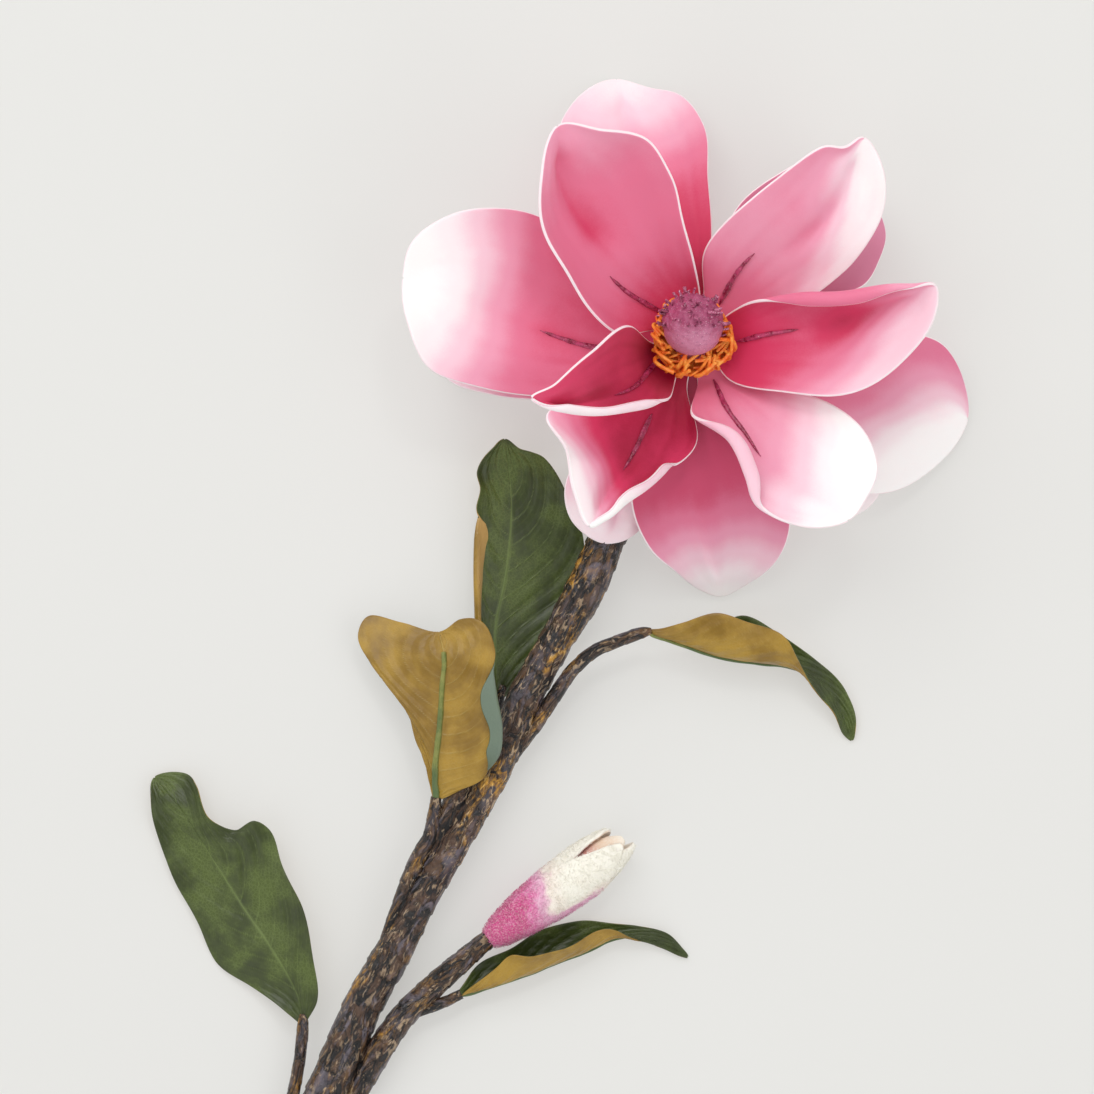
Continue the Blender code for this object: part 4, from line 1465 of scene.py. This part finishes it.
@dataclass(frozen=True)
class Heart:
    """The receptacle, the basket of curled stamens and the spiny seed cone."""
    lean: float = math.radians(24)         # of the cone, towards +Y
    shift: float = 2.2                     # of the cone and stamens, towards +Y
    cone_foot: float = 2.5                 # above the receptacle plane
    cone_profile: tuple = ((0, 21.2), (3.2, 20.3), (6.2, 18.0), (8.5, 14.3), (9.6, 10), (9.3, 6.5),
                           (7.2, 3.0), (3.6, 0.8), (0, 0.2))
    cone_segments: int = 72
    crown_rise: tuple[float, float] = (0.0, 8.0)   # millimetres towards +Y over which the spines begin
    crown_foot: tuple[float, float] = (0.2, 0.42)  # the same along the cone's height
    spines: Bristles = Bristles(
        "crown_spines", Finish.SPINE, "crown", 1.5, 1.25e5, 2.7, 0.52, 5, (0.62, 0.15, 1.0),
        (1.35, 0.08, -0.1), (6, 5), "XY", 0.55, (0.45, 1.15))
    # each ring's count of strands, its radius, and a strand's length and thickness
    rings: tuple = ((18, 7.8, 9.0, 0.6), (24, 8.8, 9.4, 0.62), (24, 9.8, 8.4, 0.62),
                    (20, 10.8, 6.6, 0.6))

    first_seed: int = 10                   # of the rings of stamens
    ring_foot: float = 0.6                 # of the first ring, above the receptacle plane
    ring_rise: float = 0.5                 # from each ring to the next

    # a strand's pull out and up, then its end out, round and up, as parts of its length
    strand_shapes: tuple = ((0.75, 0.75, -0.35, 0.5, 0.95), (0.7, 0.85, -0.45, -0.6, 0.8),
                            (0.8, 0.6, -0.15, 0.4, 1.15))

    def receptacle(self) -> None:
        """Build the receptacle that carries the petals."""
        profile = [(0.01, 1.7), (4.3, 1.6), (4.7, -0.9), (5.2, -1.6), (6.0, -4.5), (6.8, -6.6),
                   (7.3, -8.6), (6.6, -9.3), (0.01, -9.4)]
        segments = 48
        rings, outward = lathe(profile, segments, 0.5)
        rings = rings + np.array([0, 0, FLOWER_HEIGHT])
        rings = rings + outward * field_noise(rings, 0.5, 4.4)[..., None] * 0.15
        vertices = world(capped(rings))
        piece = make_object("receptacle_cup", vertices, tube_faces(len(rings), segments),
                            Finish.CONE.get(), {"crown": np.zeros(len(vertices))})
        finish_piece(piece, "receptacle", "receptacle")

    def cone_rings(self) -> tuple[Grid, Grid, Grid]:
        """The leaning cone's rings, outward directions and how far each lies in the crown."""
        rings, outward = lathe(list(self.cone_profile), self.cone_segments, 0.34)
        height = rings[..., 2] / self.cone_profile[0][1]
        turn = np.array(Matrix.Rotation(-self.lean, 3, "X"))
        centre = np.array([0, self.shift, self.cone_foot + FLOWER_HEIGHT])
        level = (rings @ turn.T + centre)[..., 1] + field_noise(rings, 0.3, 2.2) * 1.5
        crown = ease(*self.crown_rise, level) * ease(*self.crown_foot, height)
        bumps = field_noise(rings, 0.55, 7.7) * 0.8 + field_noise(rings, 1.3, 1.9) * 0.28
        rings = rings + outward * (bumps * (0.2 + 0.8 * crown))[..., None]
        return rings @ turn.T + centre, outward @ turn.T, crown

    def cone(self) -> None:
        """Build the cone's body and the spines of its crown."""
        rings, _, crown = self.cone_rings()
        vertices = world(capped(rings))
        share = np.concatenate([crown.ravel(), [0, 1]])
        faces = tube_faces(len(rings), self.cone_segments)
        body = make_object("seed_cone_body", vertices, faces, Finish.CONE.get(), {"crown": share})
        host = make_object("spine_host", vertices, faces, Finish.SPINE.get(), {"crown": share})
        spines = self.spines.tree().bake(host, "seed_cone_spines")
        finish_piece(body, "seed_cone", "seed_cone")
        finish_piece(spines, "seed_cone", "seed_cone")

    def stamen_tree(self, count: int, radius: float, length: float, thickness: float,
                    seed: int) -> GeometryTree:
        """A tree that sets one ring of curled strands.

        Args:
            count: strands in the ring.
            radius: the ring's radius in millimetres.
            length: a strand's height in millimetres.
            thickness: a strand's radius in millimetres.
            seed: picks the strands' turns and sizes.

        Returns:
            The tree.
        """
        tree = GeometryTree("stamen_ring", {
            "Count": ("Int", count), "Radius": ("Float", radius * MM), "Length": ("Float", length * MM),
            "Thickness": ("Float", thickness * MM), "Seed": ("Int", seed),
            "Material": ("Material", Finish.STAMEN.get())})
        circle = tree.add("MeshCircle", {
            "Vertices": tree.given("Count"), "Radius": tree.given("Radius")})
        jitter = tree.random((-0.0009, -0.0009, -0.0004), (0.0009, 0.0009, 0.0008), 1, "FLOAT_VECTOR")
        points = tree.add("SetPosition", {"Geometry": circle.outputs[0], "Offset": jitter}).outputs[0]
        strands = []
        for parts in self.strand_shapes:
            pull_out, pull_up, out, round_, up = (tree.times(tree.given("Length"), part)
                                                  for part in parts)
            mesh = tree.strand(tree.vector(X=pull_out, Z=pull_up), tree.vector(X=out, Y=round_, Z=up),
                               0.8, 1.2, 0.15, 7, 9)
            strands.append(tree.add("GeometryToInstance", {0: mesh}).outputs[0])
        choice = tree.add("JoinGeometry")
        for strand in strands:
            tree.tree.links.new(strand, choice.inputs[0])
        where = tree.add("ShaderNodeSeparateXYZ", {0: tree.add("InputPosition").outputs[0]})
        facing = tree.math("ARCTAN2", where.outputs["Y"], where.outputs["X"])
        swing = tree.math("ADD", facing, tree.random(-0.5, 0.5, 2))
        turn = tree.vector(X=tree.random(-0.3, 0.3, 3), Y=tree.random(-0.25, 0.2, 4), Z=swing)
        placed = tree.add("InstanceOnPoints", {
            "Points": points, "Instance": choice.outputs[0], "Pick Instance": True,
            "Instance Index": tree.random(0, 2, 5, "INT"), "Rotation": turn,
            "Scale": tree.random(0.7, 1.15, 6)})
        tree.finish(placed.outputs[0])
        return tree

    def stamens(self) -> None:
        """Build the rings of stamens and the cup that they stand in."""
        profile = [(11.6, 4.4), (12.4, 4.0), (12.4, 3.2), (9.6, 0.5), (7.3, 0.5), (7.2, 1.2),
                   (8.8, 1.9), (10.6, 3.4), (11.6, 4.4)]
        centre = np.array([0, self.shift, FLOWER_HEIGHT])
        segments = 64
        rings, outward = lathe(profile, segments, 0.4)
        rings = rings + outward * field_noise(rings, 0.8, 6.1)[..., None] * 0.3 + centre
        rows = len(rings)
        faces = tube_faces(rows, segments)[:(rows - 1) * segments]
        cup = make_object("stamen_cup", world(rings.reshape(-1, 3)), faces, Finish.STAMEN.get())
        mend(cup, weld=True)
        parts = []
        for seed, (count, radius, length, thickness) in enumerate(self.rings):
            host = bpy.data.objects.new("ring_host", bpy.data.meshes.new("ring_host"))
            bpy.context.scene.collection.objects.link(host)
            tree = self.stamen_tree(count, radius, length, thickness, self.first_seed + seed)
            ring = tree.bake(host, f"stamens_{seed}")
            foot = world(np.array([0, self.shift, FLOWER_HEIGHT + self.ring_foot + self.ring_rise * seed]))
            ring.data.transform(Matrix.Translation(Vector(foot)))
            parts.append(ring)
        strands = join_pieces("stamen_strands", parts)
        finish_piece(cup, "stamens", "stamen_whorl")
        finish_piece(strands, "stamens", "stamen_whorl")

    def build(self) -> None:
        """Build the whole heart."""
        self.receptacle()
        self.stamens()
        self.cone()


# ---- leaves


@dataclass(frozen=True)
class Leaf:
    """A fabric leaf with a wire under its middle."""
    base: Point
    left: list[Point]
    spine: list[Point]
    right: list[Point]
    tip: Point
    roll: tuple[float, float] = (0.0, 0.0)
    face_down: bool = False
    curls: tuple[Curl, ...] = ()
    thickness: float = 0.55
    wire: float = 0.7                  # radius of the wire at its foot
    wire_end: float = 0.86             # where the wire stops along the leaf
    wire_stand: float = 0.15           # height of its middle off the cloth
    foot: float = 0.8                  # half width at the twig
    veins: int = 10                    # side veins on each half
    clearance: float = 0.7             # least height of its middle surface above the table
    rows: int = 170
    columns: int = 81

    def blade(self) -> Blade:
        """The leaf's bare surface."""
        foot = np.array(self.base, float)
        heading = unit(np.array(self.spine[0]) - foot)
        across = np.array([-heading[1], heading[0], 0.0]) * self.foot
        base = tuple(tuple(point) for point in (foot + across, foot, foot - across))
        return Blade(base, self.left, self.spine, self.right, self.tip, self.roll)

    def pattern(self, u: Grid, v: Grid, seed: int) -> tuple[Grid, Grid]:
        """The leaf's relief and veins.

        Args:
            u, v: places along the leaf (one column) and across it (one row).
            seed: the leaf's own number.

        Returns:
            Millimetres along the normal, and the veins' strength from 0 to 1.
        """
        rng = np.random.default_rng(LEAF_SEEDS + seed)
        phase = rng.uniform(0, TURN, 5)
        reach = np.abs(v)
        track = (u - 0.30 * reach ** 1.3 + 0.02 * np.sign(v)) * self.veins
        track = track + 0.08 * np.sin(5 * v + 9 * u + phase[0])
        off = np.abs((track + 0.5) % 1.0 - 0.5)
        side = np.clip(1 - off / 0.045, 0, 1) * (0.8 - 0.6 * reach) * ease(0.02, 0.08, u)
        small = np.clip(1 - np.abs((track * 3 + 0.5) % 1.0 - 0.5) / 0.16, 0, 1) * 0.12
        middle = np.clip(1 - reach / (0.05 * (1.3 - u)), 0, 1)
        vein = np.clip(np.maximum(np.maximum(side, middle), small), 0, 1)
        pillow = np.cos(TURN * track) * -0.13 * ease(0.02, 0.25, reach) * (1 - reach ** 6)
        wave = np.sin(TURN * (2.3 * u) + phase[1] + 1.5 * np.sign(v)) * 0.8
        wave = wave + np.sin(TURN * (4.7 * u) + phase[2] + v) * 0.35
        broad = np.sin(TURN * (1.7 * u + 0.4 * v) + phase[3]) * 0.5 * (1 - reach ** 2)
        height = pillow + wave * reach ** 3 + broad - 0.25 * middle
        fine = np.sin(61 * u + 13 * v + phase[3]) * np.sin(47 * v - 9 * u + phase[4]) * 0.05
        return (height + fine) * ease(0.0, 0.06, u) * (1 - ease(0.94, 1.0, u)), vein

    def build(self, name: str, seed: int) -> None:
        """Build the leaf and its midrib wire.

        Args:
            name: the leaf's CAD node.
            seed: the leaf's own number.
        """
        blade = self.blade()
        u = np.minimum(crowded(self.rows, 1.25), LAST_ROW)
        v = np.linspace(-1, 1, self.columns)
        bare = blade.surface(u, v)
        height, vein = self.pattern(u[:, None], v[None], seed)
        for curl in self.curls:
            calm = ease(curl.start - 0.1, curl.start + 0.06, u)
            calm = calm * (1 - ease(curl.end, curl.end + 0.14, u))
            height = height * (1 - calm[:, None] * ease(0.3, 0.75, curl.side.value * v)[None])
        height = height * (-1 if self.face_down else 1)
        surface = bare + blade.normals(bare) * height[..., None]
        # mask of the painted sheen on the rolled-over flaps
        flap_sheen = np.zeros_like(vein)
        for curl in self.curls:
            surface = curl.apply(surface, blade.normals(surface), u, v)
            folded = ease(1.02 - curl.share, 1.1 - curl.share, curl.side.value * v[None])
            flap_sheen = flap_sheen + folded * ease(curl.start, curl.start + curl.fade, u[:, None]) * 0.85
        surface[..., 2] = np.maximum(surface[..., 2], self.clearance)
        normals = blade.normals(surface)
        shell = Shell(surface, normals, self.thickness)
        piece = shell.build(name + "_cloth", Finish.LEAF.get(),
                            {"vein": (vein, vein), "flap_sheen": (np.zeros_like(flap_sheen), flap_sheen)})
        if self.face_down:
            side = piece.data.attributes["side"]
            values = np.empty(len(side.data), np.float32)
            side.data.foreach_get("value", values)
            side.data.foreach_set("value", 1 - values)
        finish_piece(piece, "leaf_cloth", name)
        at = np.linspace(0.0, self.wire_end, 80)
        rows = np.interp(at, u, np.arange(len(u)))
        centre = self.columns // 2
        line = sample(surface, rows, np.full(len(rows), centre))
        out = unit(normals[rows.astype(int), centre]) * (1 if self.face_down else -1)
        radii = self.wire * (1 - 0.35 * at) * (0.95 + 0.05 * np.sin(at * 40))
        tube = Tube(line + out * (self.thickness / 2 + self.wire_stand), radii, 12)
        wire = tube.build(name + "_wire", Finish.WIRE.get())
        finish_piece(wire, "leaf_wire", name + "_midrib")


@dataclass(frozen=True)
class Foliage:
    """The five leaves."""
    leaves: dict[str, Leaf] = field(default_factory=lambda: {
        "leaf_right": Leaf(
            (-14, -92, 15),
            [(-10, -91, 16), (-2, -89, 18), (8, -86, 20), (18, -89, 20), (29, -93, 18),
             (34, -100, 15), (38, -108, 11), (45, -118, 6)],
            [(-9, -94, 14.5), (7, -99, 13.5), (21, -101, 12), (32, -103, 9.5), (41, -108, 6),
             (48, -117, 3)],
            [(-9, -92, 13), (-1, -91, 11), (8, -90, 10), (17, -87, 9), (27, -92, 8),
             (40, -101, 6), (49, -110, 4), (53, -122, 2.5)],
            (52, -127, 1), face_down=True, wire=0.6),
        "leaf_upper": Leaf(
            (-62, -114, 4.6),
            [(-66, -107, 6), (-69, -94, 8), (-69.7, -82, 10), (-70, -71, 11), (-69.8, -60, 11),
             (-69.2, -52.5, 11.6), (-67.7, -46, 12), (-68.8, -40.5, 12.8), (-65.4, -34, 13)],
            [(-63, -102, 4), (-63, -89, 4), (-60, -75, 4.5), (-58, -59, 6), (-58, -46, 8)],
            [(-57, -110, 3.5), (-46, -98, 3), (-36, -78, 3.2), (-35, -62, 4.5), (-41, -45.5, 7.5),
             (-47.5, -36.2, 10), (-51.5, -34.4, 11.2), (-55.4, -33.4, 12.2)],
            (-60, -30, 12.5), (4, 0),
            curls=(Curl(Side.LEFT, 0.09, 0.75, 0.8, 8.6, 172, fade=0.16, phase=-1.2),)),
        "leaf_front": Leaf(
            (-82, -146, 13),
            [(-84, -141, 13), (-87, -128, 13.5), (-94, -114, 13), (-103, -102, 11),
             (-107, -94, 9), (-104, -87, 8), (-93, -89, 11)],
            [(-82, -136, 14.5), (-81, -125, 16.5), (-80, -110, 18.5), (-79, -100, 19)],
            [(-75, -143, 15), (-67, -139, 18), (-62, -132, 20.5), (-61, -122, 22),
             (-63, -110, 22.5), (-63, -98, 22.5), (-67, -89, 21), (-74, -88, 18)],
            (-81, -92, 15), (0, 4), face_down=True, wire=1.15,
            curls=(Curl(Side.RIGHT, 0.14, 0.74, 0.8, 3.6, 172, fade=0.2),)),
        "leaf_lower_left": Leaf(
            (-125, -218, 8),
            [(-133, -212, 6), (-142, -206, 3), (-153, -199, 2), (-159, -185, 1.5),
             (-166, -173, 2), (-171, -160, 3.5), (-174, -148, 4.5)],
            [(-127, -208, 8), (-135, -194, 7), (-145, -180, 5.5), (-155, -164, 4.5),
             (-163, -151, 4)],
            [(-121, -211, 10), (-122, -197, 11), (-125, -181, 10.5), (-132, -167, 10),
             (-136, -156, 9.5), (-141, -153, 9), (-147, -156, 6.5), (-155, -152, 7),
             (-159, -142, 6), (-163, -138, 4)],
            (-173, -139, 2.5)),
        "leaf_under_bud": Leaf(
            (-75, -209, 8),
            [(-72, -204, 7.5), (-67, -199, 6), (-58, -194, 5), (-48, -188, 4), (-38, -186, 3.5),
             (-28, -186, 3.5), (-17, -187, 3), (-7, -190, 2)],
            [(-70, -208, 7), (-54, -202, 6), (-44, -198, 5), (-33, -194.5, 4.5), (-23, -190.5, 4.2),
             (-12, -191.5, 3)],
            [(-70, -206, 9), (-63, -201, 12), (-58, -196, 13), (-51, -196, 13), (-38, -193, 12),
             (-27, -188, 8.5), (-18, -190.5, 5), (-8, -194.5, 2)],
            (-1, -197, 1)),
    })

    def build(self) -> None:
        """Build every leaf and its wire."""
        for seed, (name, leaf) in enumerate(self.leaves.items()):
            leaf.build(name, seed)


# ---- wood


@dataclass(frozen=True)
class Wood:
    """The main stem, which bends up into the flower, the bud branch and the twigs."""
    stem: tuple = ((-145, -300, 7), (-132, -272, 7), (-117, -240, 7.2), (-106, -213, 8),
                   (-97, -197, 9), (-88, -180, 9.8), (-76, -160, 10.5), (-61, -133, 11.3),
                   (-54, -114, 12), (-43, -94, 12.2), (-34, -78, 12.5), (-27, -62, 12.8),
                   (-17, -42, 13))
    stem_radii: tuple = (7.0, 7.0, 7.0, 6.2, 6.1, 5.3, 4.8, 4.8, 5.6, 5.4, 6.4, 5.8, 5.7)
    bend: float = 13.0                     # radius of the bend up into the flower
    neck: float = 1.5                      # straight end below the receptacle
    clearance: float = 9.7                 # from the receptacle plane to the neck's top
    twigs: dict[str, tuple] = field(default_factory=lambda: {
        "bud_branch": ([(-110, -246, 7.6), (-104, -233, 7.8), (-98, -223, 8), (-92, -215, 8),
                        (-84, -207, 8.5), (-75, -199, 9), (-64.2, -189.8, 9)],
                       [2.6, 4.2, 4.2, 4.1, 3.9, 3.6, 2.9]),
        "twig_right": ([(-64, -142, 11), (-57, -131, 11.6), (-50, -121.5, 12), (-43, -111, 13),
                        (-38, -104, 14), (-31, -98, 15), (-24, -95, 15.5), (-15.5, -92, 15.4),
                        (-12.8, -91.6, 15.4)], [1.4, 2.2, 2.4, 2.3, 2.2, 2.1, 2.0, 1.8, 1.0]),
        "twig_upper": ([(-63, -124, 7), (-62, -114.8, 4.4), (-60.6, -109.5, 2.9)], [1.7, 1.6, 1.4]),
        "twig_front": ([(-99, -192, 10), (-94, -180, 11.5), (-88, -165, 10.5), (-84, -158, 11),
                        (-83, -152, 12), (-82, -145, 13.2)], [1.6, 2.4, 2.7, 2.5, 2.1, 1.7]),
        "twig_lower_left": ([(-127, -264, 7), (-131, -252, 7), (-128, -240, 7), (-126, -229, 7.5),
                             (-125, -218, 8), (-125, -215, 8)], [1.8, 2.0, 2.0, 1.9, 1.8, 1.0]),
        "twig_under_bud": ([(-95, -217, 8), (-86, -213.5, 8), (-79, -211, 8), (-74, -208.6, 8)],
                           [1.4, 1.9, 1.8, 1.6]),
    })

    # where the film closes the fork between the stem and a twig
    webs: dict[str, tuple] = field(default_factory=lambda: {
        "twig_front": ([(-84, -166, 9), (-80.6, -158, 9.6), (-78.2, -151.5, 10.2), (-75, -145, 9.7),
                        (-72, -139.5, 9.6)], [2.2, 3.3, 3.8, 4.2, 3.4]),
    })

    def stem_line(self) -> tuple[list[Point], list[float]]:
        """The stem's middle line up to the receptacle, and its radius at each point."""
        end = np.array(self.stem[-1][:2], float)
        heading = -unit(end)
        top = FLOWER_HEIGHT - self.clearance - self.neck
        points, radii = list(self.stem), list(self.stem_radii)
        for degrees, radius in ((25, 5.9), (50, 6.1), (75, 6.2), (90, 6.2)):
            angle = math.radians(degrees)
            back = self.bend * (1 - math.sin(angle))
            points.append((-heading[0] * back, -heading[1] * back, top - self.bend * math.cos(angle)))
            radii.append(radius)
        points.append((0, 0, top + self.neck))
        radii.append(6.2)
        return points, radii

    def build(self) -> None:
        """Build the stem and every twig."""
        points, radii = self.stem_line()
        stem = WrappedWood("main_stem_wrap", points, radii, segments=56).build()
        finish_piece(stem, "stem_wrap", "main_stem")
        for kind, pieces in (("_wrap", self.twigs), ("_web", self.webs)):
            for name, (path, sizes) in pieces.items():
                twig = WrappedWood(name + kind, path, sizes, pitch=6.0, ledge=0.3, crinkle=0.25,
                                   segments=32, spacing=0.35)
                finish_piece(twig.build(), "stem_wrap", name)


# ---- bud


@dataclass(frozen=True)
class BudPetal:
    """One flocked petal of the bud, which wraps part of the way round."""
    facing: float                          # degrees round the bud, low down
    turned: float                          # the same at its tip
    half_low: float                        # degrees that it reaches each way, low down and at its tip
    half_tip: float
    start: float = 0.0                     # where it begins and ends along the bud
    end: float = 1.0
    inset: float = 0.0
    flare: float = 0.0                     # millimetres that its tip turns out
    inner: float = 0.0                     # 1 for a petal that shows its smooth inner colours


@dataclass(frozen=True)
class Bud:
    """A half-open bud of two outer and two inner petals."""
    base: Point = (-65.4, -190.6, 9)
    tip: Point = (-20, -158, 9)
    girth: tuple = ((0.0, 3.0), (0.05, 4.6), (0.18, 6.3), (0.35, 7.6), (0.52, 8.6), (0.7, 8.6),
                    (0.85, 7.4), (0.95, 5.4), (1.03, 2.6))
    thickness: float = 1.2
    narrows: tuple[float, float] = (0.45, 0.97)    # where the petals part and narrow
    fibres: Bristles = Bristles(
        "flock_fibres", Finish.BUD, "side", 1.0, 2.6e6, 0.75, 0.075, 3, (0.6, 0.7, 0.6),
        (1.0, 0.4, 0.0), (3, 2), "X", 0.5, (0.6, 1.2))
    petals: dict[str, BudPetal] = field(default_factory=lambda: {
        "bud_outer_petal_near": BudPetal(42, 82, 96, 16, 0.0, 0.94, -0.3),
        "bud_outer_petal_far": BudPetal(214, 196, 98, 40, 0.0, 0.93, 0.3, 0.6),
        "bud_inner_petal_upper": BudPetal(105, 110, 70, 56, 0.2, 0.97, 2.2, inner=1.0),
        "bud_inner_petal_lower": BudPetal(330, 352, 80, 66, 0.2, 1.0, 0.35)})
    rows: int = 90
    columns: int = 61

    def radius(self, u: Grid) -> Grid:
        """The bud's outer radius at places along it."""
        scale = 40
        dense = smooth_path([(where * scale, radius) for where, radius in self.girth])
        return np.interp(u * scale, dense[:, 0], dense[:, 1])

    def petal(self, name: str, petal: BudPetal) -> Piece:
        """Build one petal's shell.

        Args:
            name: the petal's CAD node.
            petal: its place and size.

        Returns:
            The shell.
        """
        base, tip = np.array(self.base, float), np.array(self.tip, float)
        axis = tip - base
        forward = unit(axis)
        up = np.array([0.0, 0.0, 1.0])
        side = np.cross(forward, up)
        u = petal.start + (petal.end - petal.start) * crowded(self.rows, 1.3)
        v = np.linspace(-1, 1, self.columns)
        closing = ease(*self.narrows, u)
        half = petal.half_low + (petal.half_tip - petal.half_low) * closing
        rounding = np.sqrt(np.clip((petal.end - u) / 0.07, 0.0, 1.0))
        half = half * (0.12 + 0.88 * rounding)
        facing = petal.facing + (petal.turned - petal.facing) * closing
        angle = np.radians(facing[:, None] + v[None] * half[:, None])
        out = petal.flare * ease(0.6, 1.0, u)
        radius = np.maximum(self.radius(u) - self.thickness / 2 - petal.inset, 0.7) + out
        ring = side * np.cos(angle)[..., None] + up * np.sin(angle)[..., None]
        surface = base + axis * u[:, None, None] + ring * radius[:, None, None]
        lumps = field_noise(surface, 0.13, 20.0) * 0.4 + field_noise(surface, 0.5, 5.0) * 0.05
        swell = np.sin(math.pi * np.clip(u, 0.02, 0.98))[:, None]
        surface = surface + ring * (lumps * swell)[..., None]
        low = ((surface - base) @ side) / 8.0
        place_up = u[:, None] + 0.08 * np.clip(low, -1.2, 0.6)
        shadow = 0.62 * ease(0.66, 1.0, low) * ease(0.9, 0.6, u)[:, None]
        tone = ease(0.20, 0.62, place_up) * (1 - shadow)
        inner = np.full_like(tone, petal.inner)
        along_bud = np.repeat(u[:, None], self.columns, 1)
        shell = Shell(surface, ring, self.thickness)
        piece = shell.build(name + "_flock", Finish.BUD.get(), {
            "tone": (tone, tone), "inner": (inner, inner), "height": (along_bud, along_bud)})
        mend(piece)
        return piece

    def build(self) -> None:
        """Build the four petals, the outer ones with their fibres."""
        for name, petal in self.petals.items():
            piece = self.petal(name, petal)
            if not petal.inner:
                host = piece.copy()
                host.data = piece.data.copy()
                bpy.context.scene.collection.objects.link(host)
                fuzz = self.fibres.tree().bake(host, name + "_fibres")
                finish_piece(fuzz, "bud_flock", name)
            finish_piece(piece, "bud_flock", name)


# ---- studio


@dataclass(frozen=True)
class Studio:
    """A pale table, soft light and a camera that looks straight down."""
    view_middle: tuple[float, float] = (-46.4, -64.6)
    view_width: float = 350.0
    view_plane: float = 28.0               # height at which the width is measured
    lens: float = 300.0
    sensor: float = 36.0
    world: float = 0.76
    sky_range: tuple[float, float] = (0.55, 1.9)   # the sky's least and greatest part of that
    key: float = 17.0
    fill: float = 0.25                     # the other lights' parts of the key light
    glint: float = 0.16
    table_half: float = 4.0                # metres
    glow: float = 0.50                     # the table is lit a little from below, as a light table is

    def floor(self) -> None:
        """Lay the table under the branch."""
        low = CAD_BOX[0]
        size = self.table_half
        corners = ((-size, -size), (size, -size), (size, size), (-size, size))
        vertices = np.array([(x, y, low[2]) for x, y in corners])
        graph = Graph("table_top")
        cloud = graph.object_noise(3, 2)
        colour = graph.mix(cloud, srgb(158, 158, 156), srgb(161, 161, 159))
        graph.feed(graph.shader, {
            "Base Color": colour, "Roughness": 0.9, "Specular IOR Level": 0.1,
            "Emission Color": srgb(240, 239, 235), "Emission Strength": self.glow})
        make_object("table_top", vertices, [(0, 1, 2, 3)], graph.material)

    def light(self, name: str, position: Point, size: float, power: float, target: Vector) -> None:
        """Hang one soft square light, facing the branch.

        Args:
            name: the light's name.
            position: offset from the target in metres.
            size: the square's side in metres.
            power: watts.
            target: the point that it faces.
        """
        data = bpy.data.lights.new(name, "AREA")
        data.size = size
        data.energy = power
        lamp = bpy.data.objects.new(name, data)
        lamp.location = target + Vector(position)
        lamp.rotation_euler = (-Vector(position)).to_track_quat("-Z", "Y").to_euler()
        bpy.context.scene.collection.objects.link(lamp)

    def build(self) -> None:
        """Set the table, lights, world and camera."""
        self.floor()
        scene = bpy.context.scene
        target = Vector(world(np.array([*self.view_middle, self.view_plane])))
        self.light("key", (-0.7, 1.2, 1.7), 1.5, self.key, target)
        self.light("fill", (1.4, -0.6, 1.5), 1.6, self.key * self.fill, target)
        self.light("glint", (0.25, 0.9, 1.5), 0.22, self.key * self.glint, target)
        sky = bpy.data.worlds.new("studio")
        sky.use_nodes = True
        nodes = NodeTree(sky.node_tree)
        lamps = nodes.add("ShaderNodeTexNoise", {"Scale": 3.0, "Detail": 0.0}).outputs[0]
        least, most = self.sky_range
        strength = nodes.add("ShaderNodeMapRange", {
            "Value": lamps, "From Min": 0.50, "From Max": 0.60,
            "To Min": self.world * least, "To Max": self.world * most}).outputs[0]
        nodes.feed(nodes.tree.nodes["Background"], {"Color": (1, 1, 1), "Strength": strength})
        scene.world = sky
        data = bpy.data.cameras.new("camera")
        data.lens, data.sensor_width = self.lens, self.sensor
        camera = bpy.data.objects.new("camera", data)
        away = self.view_width * MM * self.lens / self.sensor
        camera.location = target + Vector((0, 0, away))
        scene.collection.objects.link(camera)
        scene.camera = camera
        scene.view_settings.view_transform = "Standard"


def main() -> None:
    """Build every sub-assembly in order."""
    logging.basicConfig(level=logging.INFO, format="%(message)s")
    for assembly in (Wood(), Foliage(), Bud(), Flower(), Heart(), Studio()):
        log.info("building %s", type(assembly).__name__)
        assembly.build()


if __name__ == "__main__":
    main()
